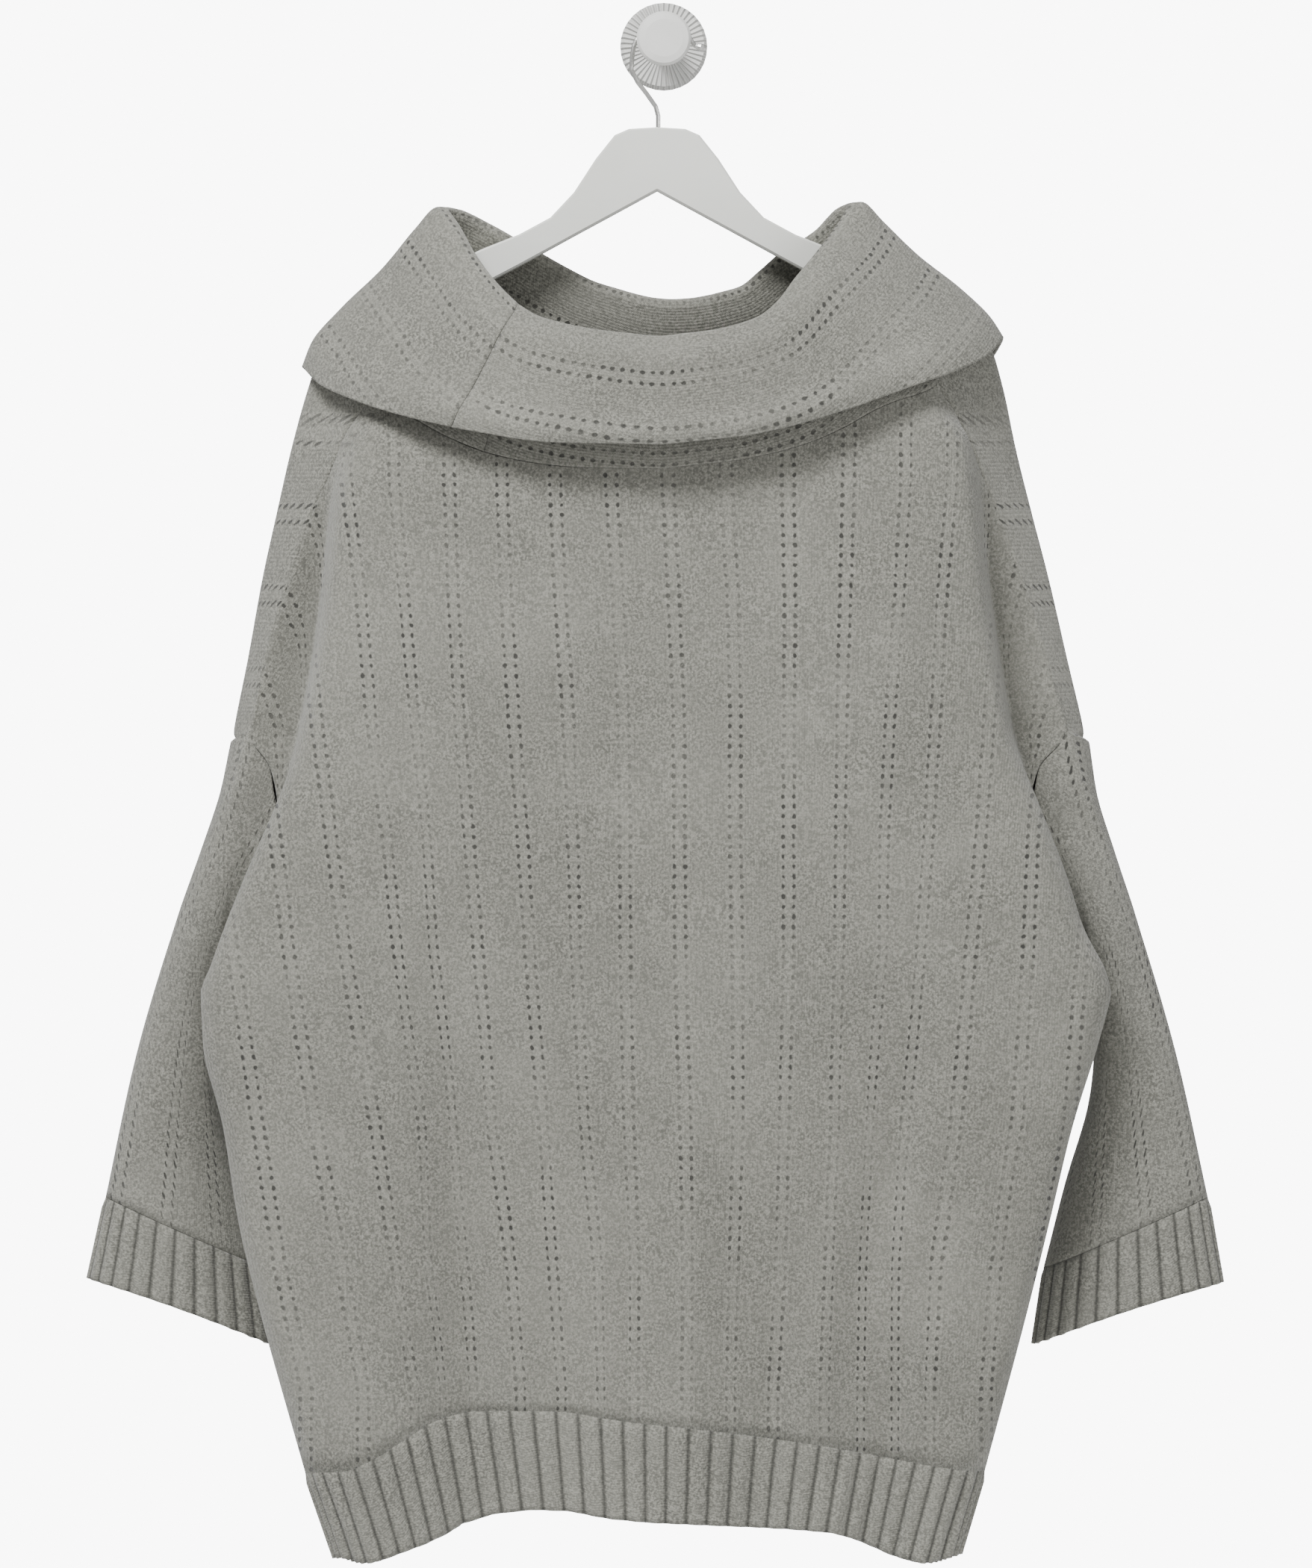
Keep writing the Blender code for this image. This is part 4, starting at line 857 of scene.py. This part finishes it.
def shell(name, points, normal, knit, closed, thickness, finish_with):
    """One cloth piece: a grid moved to the outer surface, with its knit laid out as its UV map."""
    rows, cols = points.shape[:2]
    mesh = bmesh.new()
    bmesh.ops.create_grid(mesh, x_segments=cols - 1, y_segments=rows - 1, size=1)
    layer = mesh.loops.layers.uv.new("knit")
    mesh.verts.index_update()
    at = [(round((v.co.y + 1) / 2 * (rows - 1)), round((v.co.x + 1) / 2 * (cols - 1))) for v in mesh.verts]
    for face in mesh.faces:
        for loop in face.loops:
            loop[layer].uv = knit[at[loop.vert.index]]
    for vert in mesh.verts:
        vert.co = points[at[vert.index]]
    mesh.normal_update()
    facing = sum(face.normal.dot(normal[at[face.verts[0].index]]) for face in mesh.faces)
    if facing < 0:
        bmesh.ops.reverse_faces(mesh, faces=mesh.faces)
    if closed:
        edge = [vert for vert in mesh.verts if at[vert.index][1] in (0, cols - 1)]
        bmesh.ops.remove_doubles(mesh, verts=edge, dist=1e-5)
    data = bpy.data.meshes.new(name)
    mesh.to_mesh(data)
    mesh.free()
    data.shade_smooth()
    piece = bpy.data.objects.new(name, data)
    bpy.context.collection.objects.link(piece)
    data.materials.append(finish_with)
    wall = piece.modifiers.new("wall", "SOLIDIFY")
    wall.thickness = thickness * MM
    wall.offset = -1
    return piece


def number_node(tree, operation, *values):
    """A maths node fed by numbers or by other sockets."""
    node = tree.nodes.new("ShaderNodeMath")
    node.operation = operation
    for socket, value in zip(node.inputs, values):
        if isinstance(value, (int, float)):
            socket.default_value = value
        else:
            tree.links.new(value, socket)
    return node.outputs[0]


def noise_node(tree, place_from, scale, detail):
    """A noise mask on the given coordinates."""
    node = tree.nodes.new("ShaderNodeTexNoise")
    node.inputs["Scale"].default_value = scale
    node.inputs["Detail"].default_value = detail
    tree.links.new(place_from, node.inputs["Vector"])
    return node.outputs["Fac"]


def spread(tree, value, low, high, to_low=0.0, to_high=1.0):
    """A value stretched smoothly from one range to another."""
    node = tree.nodes.new("ShaderNodeMapRange")
    node.interpolation_type = "SMOOTHSTEP"
    tree.links.new(value, node.inputs["Value"])
    node.inputs["From Min"].default_value = low
    node.inputs["From Max"].default_value = high
    node.inputs["To Min"].default_value = to_low
    node.inputs["To Max"].default_value = to_high
    return node.outputs["Result"]


def mixed(tree, share, first, second):
    """A colour between two, each a colour or a socket."""
    node = tree.nodes.new("ShaderNodeMix")
    node.data_type = "RGBA"
    tree.links.new(share, node.inputs["Factor"])
    for name, value in (("A_Color", first), ("B_Color", second)):
        socket = next(item for item in node.inputs if item.identifier == name)
        if isinstance(value, tuple):
            socket.default_value = (*value, 1)
        else:
            tree.links.new(value, socket)
    return next(item for item in node.outputs if item.identifier == "Result_Color")


MARL_DARK = (0.085, 0.085, 0.072)
MARL_LIGHT = (0.40, 0.395, 0.345)
MARL_MIDDLE = (0.225, 0.223, 0.193)
# Painted shade: a near-black colour for the shaded inside seen through each eyelet hole, and for the shade in each
# rib valley
PAINTED_HOLE_AND_VALLEY_SHADE = (0.014, 0.014, 0.012)


def marl_knit_group():
    """Grey marl knit: stitches, fibres, and eyelet pairs or rib valleys, laid out by the UV map; the eyelet holes
    and rib valleys get painted shade.
    """
    tree = bpy.data.node_groups.new("marl_knit", "ShaderNodeTree")
    tree.interface.new_socket("Knit", in_out="INPUT", socket_type="NodeSocketVector")
    tree.interface.new_socket("Object", in_out="INPUT", socket_type="NodeSocketVector")
    tree.interface.new_socket("Eyelets", in_out="INPUT", socket_type="NodeSocketFloat")
    tree.interface.new_socket("Ribs", in_out="INPUT", socket_type="NodeSocketFloat")
    tree.interface.new_socket("Colour", in_out="OUTPUT", socket_type="NodeSocketColor")
    tree.interface.new_socket("Height", in_out="OUTPUT", socket_type="NodeSocketFloat")
    tree.interface.new_socket("Roughness", in_out="OUTPUT", socket_type="NodeSocketFloat")
    start = tree.nodes.new("NodeGroupInput").outputs
    end = tree.nodes.new("NodeGroupOutput").inputs
    parts = tree.nodes.new("ShaderNodeSeparateXYZ")
    tree.links.new(start["Knit"], parts.inputs[0])
    wale = parts.outputs["X"]
    course = parts.outputs["Y"]
    # Eyelets stand in two columns, two wales either side of each pair's middle
    turned = number_node(tree, "FLOORED_MODULO", number_node(tree, "ADD", wale, 10.0), WALES)
    from_pair = number_node(tree, "ABSOLUTE", number_node(tree, "SUBTRACT", turned, 10.0))
    side = number_node(tree, "DIVIDE", number_node(tree, "SUBTRACT", from_pair, 2.0), 0.72)
    step = number_node(tree, "FLOORED_MODULO", number_node(tree, "ADD", course, 2.0), 4.0)
    level = number_node(tree, "DIVIDE", number_node(tree, "SUBTRACT", step, 2.0), 0.95)
    reach = number_node(tree, "SQRT", number_node(tree, "ADD", number_node(tree, "POWER", side, 2.0),
                                                  number_node(tree, "POWER", level, 2.0)))
    uneven = noise_node(tree, start["Object"], 320, 1)
    reach = number_node(tree, "ADD", reach, spread(tree, uneven, 0.25, 0.75, -0.25, 0.45))
    # Painted shade: the eyelet hole mask darkens the colour where the shaded inside shows through
    hole = number_node(tree, "MULTIPLY", spread(tree, reach, 1.35, 0.7), start["Eyelets"])
    faint = noise_node(tree, start["Object"], 16, 3)
    hole = number_node(tree, "MULTIPLY", hole, spread(tree, faint, 0.35, 0.65, 0.4, 1.0))
    beside = spread(tree, from_pair, 3.9, 3.0)
    beside = number_node(tree, "MULTIPLY", beside, start["Eyelets"])
    # Each stitch is a small V, and a rib's valley lies at each whole number
    part_wale = number_node(tree, "FRACT", wale)
    twice = number_node(tree, "MULTIPLY", part_wale, 2.0)
    slant = number_node(tree, "ABSOLUTE", number_node(tree, "SUBTRACT", twice, 1.0))
    leg = number_node(tree, "SINE", number_node(tree, "MULTIPLY", number_node(tree, "ADD", course, slant), 6.2832))
    groove = number_node(tree, "SINE", number_node(tree, "MULTIPLY", part_wale, 3.1416))
    stitch = number_node(tree, "ADD", groove, number_node(tree, "MULTIPLY", leg, 0.35))
    # Painted shade: the rib valley mask darkens the colour where shade lies in each valley
    valley = number_node(tree, "MULTIPLY", spread(tree, groove, 0.55, 0.0), start["Ribs"])
    fibre = noise_node(tree, start["Object"], 1500, 2)
    yarn = noise_node(tree, start["Object"], 620, 2)
    cloud = noise_node(tree, start["Object"], 55, 3)
    wide = noise_node(tree, start["Object"], 9, 2)
    light = mixed(tree, spread(tree, yarn, 0.34, 0.66), MARL_DARK, MARL_LIGHT)
    soft = mixed(tree, spread(tree, cloud, 0.3, 0.7, 0.35, 0.6), light, MARL_MIDDLE)
    fine = mixed(tree, spread(tree, fibre, 0.66, 0.36, 0.0, 0.45), soft, MARL_DARK)
    large = mixed(tree, spread(tree, wide, 0.4, 0.7, 0.0, 0.16), fine, MARL_LIGHT)
    pair = mixed(tree, number_node(tree, "MULTIPLY", beside, 0.10), large, MARL_LIGHT)
    # The colour with painted shade in the eyelet holes and rib valleys
    knit_with_painted_shade = mixed(tree, number_node(tree, "MAXIMUM", number_node(tree, "MULTIPLY", hole, 0.88),
                                   number_node(tree, "MULTIPLY", valley, 0.72)), pair, PAINTED_HOLE_AND_VALLEY_SHADE)
    tree.links.new(knit_with_painted_shade, end["Colour"])
    fuzz = number_node(tree, "MULTIPLY", yarn, 0.5)
    height = number_node(tree, "ADD", number_node(tree, "MULTIPLY", stitch, 0.35), fuzz)
    height = number_node(tree, "SUBTRACT", height, number_node(tree, "MULTIPLY", hole, 1.6))
    tree.links.new(height, end["Height"])
    tree.links.new(spread(tree, fibre, 0.3, 0.7, 0.86, 1.0), end["Roughness"])
    return tree


def knit_material(name, group, eyelets, ribs):
    """A knit for one piece, with eyelets or ribs."""
    made = bpy.data.materials.new(name)
    made.use_nodes = True
    tree = made.node_tree
    shader = tree.nodes["Principled BSDF"]
    shader.inputs["Sheen Weight"].default_value = 0.25
    shader.inputs["Sheen Roughness"].default_value = 0.6
    shader.inputs["Specular IOR Level"].default_value = 0.2
    knit = tree.nodes.new("ShaderNodeGroup")
    knit.node_tree = group
    layout = tree.nodes.new("ShaderNodeUVMap")
    layout.uv_map = "knit"
    where = tree.nodes.new("ShaderNodeTexCoord")
    tree.links.new(layout.outputs["UV"], knit.inputs["Knit"])
    tree.links.new(where.outputs["Object"], knit.inputs["Object"])
    knit.inputs["Eyelets"].default_value = eyelets
    knit.inputs["Ribs"].default_value = ribs
    bump = tree.nodes.new("ShaderNodeBump")
    bump.inputs["Strength"].default_value = 0.5
    bump.inputs["Distance"].default_value = 0.0012
    tree.links.new(knit.outputs["Height"], bump.inputs["Height"])
    tree.links.new(knit.outputs["Colour"], shader.inputs["Base Color"])
    tree.links.new(knit.outputs["Roughness"], shader.inputs["Roughness"])
    tree.links.new(bump.outputs["Normal"], shader.inputs["Normal"])
    return made


def painted_wood():
    """White paint on wood, with faint grain along the hanger and slight wear."""
    made = bpy.data.materials.new("painted_wood")
    made.use_nodes = True
    tree = made.node_tree
    shader = tree.nodes["Principled BSDF"]
    where = tree.nodes.new("ShaderNodeTexCoord")
    stretch = tree.nodes.new("ShaderNodeMapping")
    stretch.inputs["Scale"].default_value = (0.2, 1.0, 1.0)
    tree.links.new(where.outputs["Object"], stretch.inputs["Vector"])
    grain = noise_node(tree, stretch.outputs["Vector"], 260, 4)
    cloud = noise_node(tree, where.outputs["Object"], 14, 2)
    base = mixed(tree, spread(tree, cloud, 0.3, 0.7), (0.86, 0.87, 0.82), (0.82, 0.83, 0.775))
    tree.links.new(base, shader.inputs["Base Color"])
    tree.links.new(spread(tree, grain, 0.3, 0.7, 0.34, 0.46), shader.inputs["Roughness"])
    bump = tree.nodes.new("ShaderNodeBump")
    bump.inputs["Strength"].default_value = 0.12
    bump.inputs["Distance"].default_value = 0.0004
    tree.links.new(grain, bump.inputs["Height"])
    tree.links.new(bump.outputs["Normal"], shader.inputs["Normal"])
    return made


def fluted_paint():
    """White paint on the knob, with fine flutes round its wide base ring and painted shade in their grooves."""
    made = bpy.data.materials.new("fluted_paint")
    made.use_nodes = True
    tree = made.node_tree
    shader = tree.nodes["Principled BSDF"]
    where = tree.nodes.new("ShaderNodeTexCoord")
    parts = tree.nodes.new("ShaderNodeSeparateXYZ")
    tree.links.new(where.outputs["Object"], parts.inputs[0])
    turn = number_node(tree, "ARCTAN2", parts.outputs["Z"], parts.outputs["X"])
    flute = number_node(tree, "SINE", number_node(tree, "MULTIPLY", turn, 48.0))
    on_ring = spread(tree, parts.outputs["Y"], -0.014, -0.0105)
    flute = number_node(tree, "MULTIPLY", flute, on_ring)
    cloud = noise_node(tree, where.outputs["Object"], 60, 2)
    base = mixed(tree, spread(tree, cloud, 0.3, 0.7), (0.87, 0.87, 0.84), (0.82, 0.82, 0.79))
    # Painted shade: the flute grooves on the base ring are darkened towards grey
    flute_with_groove_shade = mixed(tree, spread(tree, flute, -0.2, -1.0, 0.0, 0.25), base, (0.45, 0.45, 0.43))
    tree.links.new(flute_with_groove_shade, shader.inputs["Base Color"])
    tree.links.new(spread(tree, cloud, 0.3, 0.7, 0.32, 0.42), shader.inputs["Roughness"])
    bump = tree.nodes.new("ShaderNodeBump")
    bump.inputs["Strength"].default_value = 0.8
    bump.inputs["Distance"].default_value = 0.0012
    tree.links.new(flute, bump.inputs["Height"])
    tree.links.new(bump.outputs["Normal"], shader.inputs["Normal"])
    return made


def satin_wire():
    """Satin steel wire with fine drawing marks."""
    made = bpy.data.materials.new("satin_wire")
    made.use_nodes = True
    tree = made.node_tree
    shader = tree.nodes["Principled BSDF"]
    shader.inputs["Metallic"].default_value = 0.9
    where = tree.nodes.new("ShaderNodeTexCoord")
    marks = noise_node(tree, where.outputs["Object"], 700, 3)
    tint = mixed(tree, spread(tree, marks, 0.3, 0.7), (0.66, 0.66, 0.64), (0.55, 0.55, 0.53))
    tree.links.new(tint, shader.inputs["Base Color"])
    tree.links.new(spread(tree, marks, 0.3, 0.7, 0.26, 0.38), shader.inputs["Roughness"])
    return made


# Grid size, wall, closed tube, knit, eyelets and ribs of each cloth piece
RIB_SHAPE = 1.6
HEM_LAP = 0.15
CLOTH = {
    "front_panel": (170, 190, False, 2.2, front_knit, 1.0, 0.0),
    "back_panel": (160, 180, False, 2.2, back_knit, 1.0, 0.0),
    "collar": (90, 330, False, 2.4, collar_knit, 1.0, 0.0),
    "sleeve_left": (70, 140, True, 2.2, sleeve_knit, 1.0, 0.0),
    "sleeve_right": (70, 140, True, 2.2, sleeve_knit, 1.0, 0.0),
    "cuff_left": (16, 240, True, 2.2, rib_knit(24), 0.0, 1.0),
    "cuff_right": (16, 240, True, 2.2, rib_knit(24), 0.0, 1.0),
    "hem_rib_front": (18, 480, False, 2.2, rib_knit(48), 0.0, 1.0),
    "hem_rib_back": (18, 410, False, 2.2, rib_knit(41), 0.0, 1.0),
}


def dress_cloth():
    """Make every cloth piece, attach it to the root body and hide the part it stands in for."""
    grids = cloth_grids()
    group = marl_knit_group()
    for name, (rows, cols, closed, thickness, knit_of, eyelets, ribs) in CLOTH.items():
        coarse, coarse_normal = grids[name]
        span = coarse.shape[1] if closed else coarse.shape[1] - 1
        row_at = np.linspace(0, len(coarse) - 1, rows)
        col_at = np.linspace(0, span, cols + 1)
        points = read_grid(coarse, row_at, col_at, closed)
        normal = read_grid(coarse_normal, row_at, col_at, closed)
        normal /= np.linalg.norm(normal, axis=-1, keepdims=True)
        if name.startswith("hem_rib"):
            above = grids[name.replace("hem_rib_", "") + "_panel"][0]
            seam = read_grid(above, [len(above) - 1], col_at / (2 * RIBS_PER_COLUMN), False)[0]
            miss = seam + np.array([0, 0, HEM_LAP * MM]) - points[0]
            points = points + miss * (1 - np.linspace(0, 1, rows)[:, None, None]) ** 2
        if closed:
            points[:, -1] = points[:, 0]
            normal[:, -1] = normal[:, 0]
        knit = knit_of(points, col_at)
        lift = np.full(points.shape[:2], (COLLAR_WALL if name == "collar" else BODY_WALL) / 2)
        if ribs:
            crest = 1 - np.abs(np.cos(np.pi * knit[..., 0])) ** 3
            start = ramp(np.linspace(0, 1, rows), 0.0, 0.12)[:, None]
            lift = lift + RIB_SHAPE * crest * start
        elif name in ("front_panel", "back_panel"):
            creases = FRONT_CREASES if name == "front_panel" else BACK_CREASES
            across, drop = as_seen(points)
            lift = lift + crease_lift(creases, across, drop) * edge_fade(rows, cols + 1, 0.08, False)
        elif closed:
            across = np.broadcast_to(np.linspace(0, 1, cols + 1), lift.shape)
            down = np.broadcast_to(np.linspace(0, 1, rows)[:, None], lift.shape)
            lift = lift + crease_lift(SLEEVE_CREASES, across, down) * edge_fade(rows, cols + 1, 0.12, True)
        points = points + normal * lift[..., None] * MM
        finish_with = knit_material(name + "_knit", group, eyelets, ribs)
        piece = shell(name + "_cloth", points, normal, knit, closed, thickness, finish_with)
        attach(piece, "root")
        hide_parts(name)


def dress_hard_parts():
    """Better finishes for the hanger, its hook and the knob, which keep their own shapes."""
    for name, finish_with in (("hanger_body", painted_wood()), ("hanger_hook", satin_wire()),
                              ("wall_knob", fluted_paint())):
        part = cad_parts[name]
        part = part if hasattr(part, "material_slots") else bpy.data.objects[name]
        for slot in part.material_slots:
            slot.material = finish_with


def set_stage():
    """A plain pale floor, soft light, and the camera where the photograph was taken from."""
    mesh = bmesh.new()
    bmesh.ops.create_grid(mesh, x_segments=1, y_segments=1, size=2.5)
    bmesh.ops.translate(mesh, verts=mesh.verts, vec=(0, 0, -1.25))
    data = bpy.data.meshes.new("floor")
    mesh.to_mesh(data)
    mesh.free()
    floor = bpy.data.objects.new("floor", data)
    bpy.context.collection.objects.link(floor)
    pale = bpy.data.materials.new("pale_floor")
    pale.use_nodes = True
    pale.node_tree.nodes["Principled BSDF"].inputs["Base Color"].default_value = (0.9, 0.9, 0.9, 1)
    pale.node_tree.nodes["Principled BSDF"].inputs["Roughness"].default_value = 0.9
    data.materials.append(pale)
    world = bpy.data.worlds.new("studio")
    world.use_nodes = True
    world.node_tree.nodes["Background"].inputs["Color"].default_value = (1, 1, 1, 1)
    seen_light = world.node_tree.nodes.new("ShaderNodeLightPath")
    strength = number_node(world.node_tree, "MULTIPLY_ADD", seen_light.outputs["Is Camera Ray"],
                           BACKGROUND_LIGHT - WORLD_LIGHT, WORLD_LIGHT)
    world.node_tree.links.new(strength, world.node_tree.nodes["Background"].inputs["Strength"])
    bpy.context.scene.world = world
    for name, spot, turn, size, power in LIGHTS:
        lamp = bpy.data.lights.new(name, "AREA")
        lamp.size = size
        lamp.energy = power
        light = bpy.data.objects.new(name, lamp)
        light.location = spot
        light.rotation_euler = [math.radians(angle) for angle in turn]
        bpy.context.collection.objects.link(light)
    lens = bpy.data.cameras.new("camera")
    lens.lens = 180
    lens.sensor_fit = "VERTICAL"
    lens.sensor_height = 36
    camera = bpy.data.objects.new("camera", lens)
    camera.location = (-0.005, -5.045, -0.474)
    camera.rotation_euler = (math.pi / 2, 0, 0)
    bpy.context.collection.objects.link(camera)
    bpy.context.scene.camera = camera


WORLD_LIGHT = 0.42
BACKGROUND_LIGHT = 9.0
LIGHTS = (
    ("key", (-1.3, -2.2, 2.4), (42, 0, -30), 1.2, 190),
    ("fill", (2.6, -2.6, 0.2), (80, 0, 46), 2.2, 40),
)

set_stage()
dress_cloth()
dress_hard_parts()
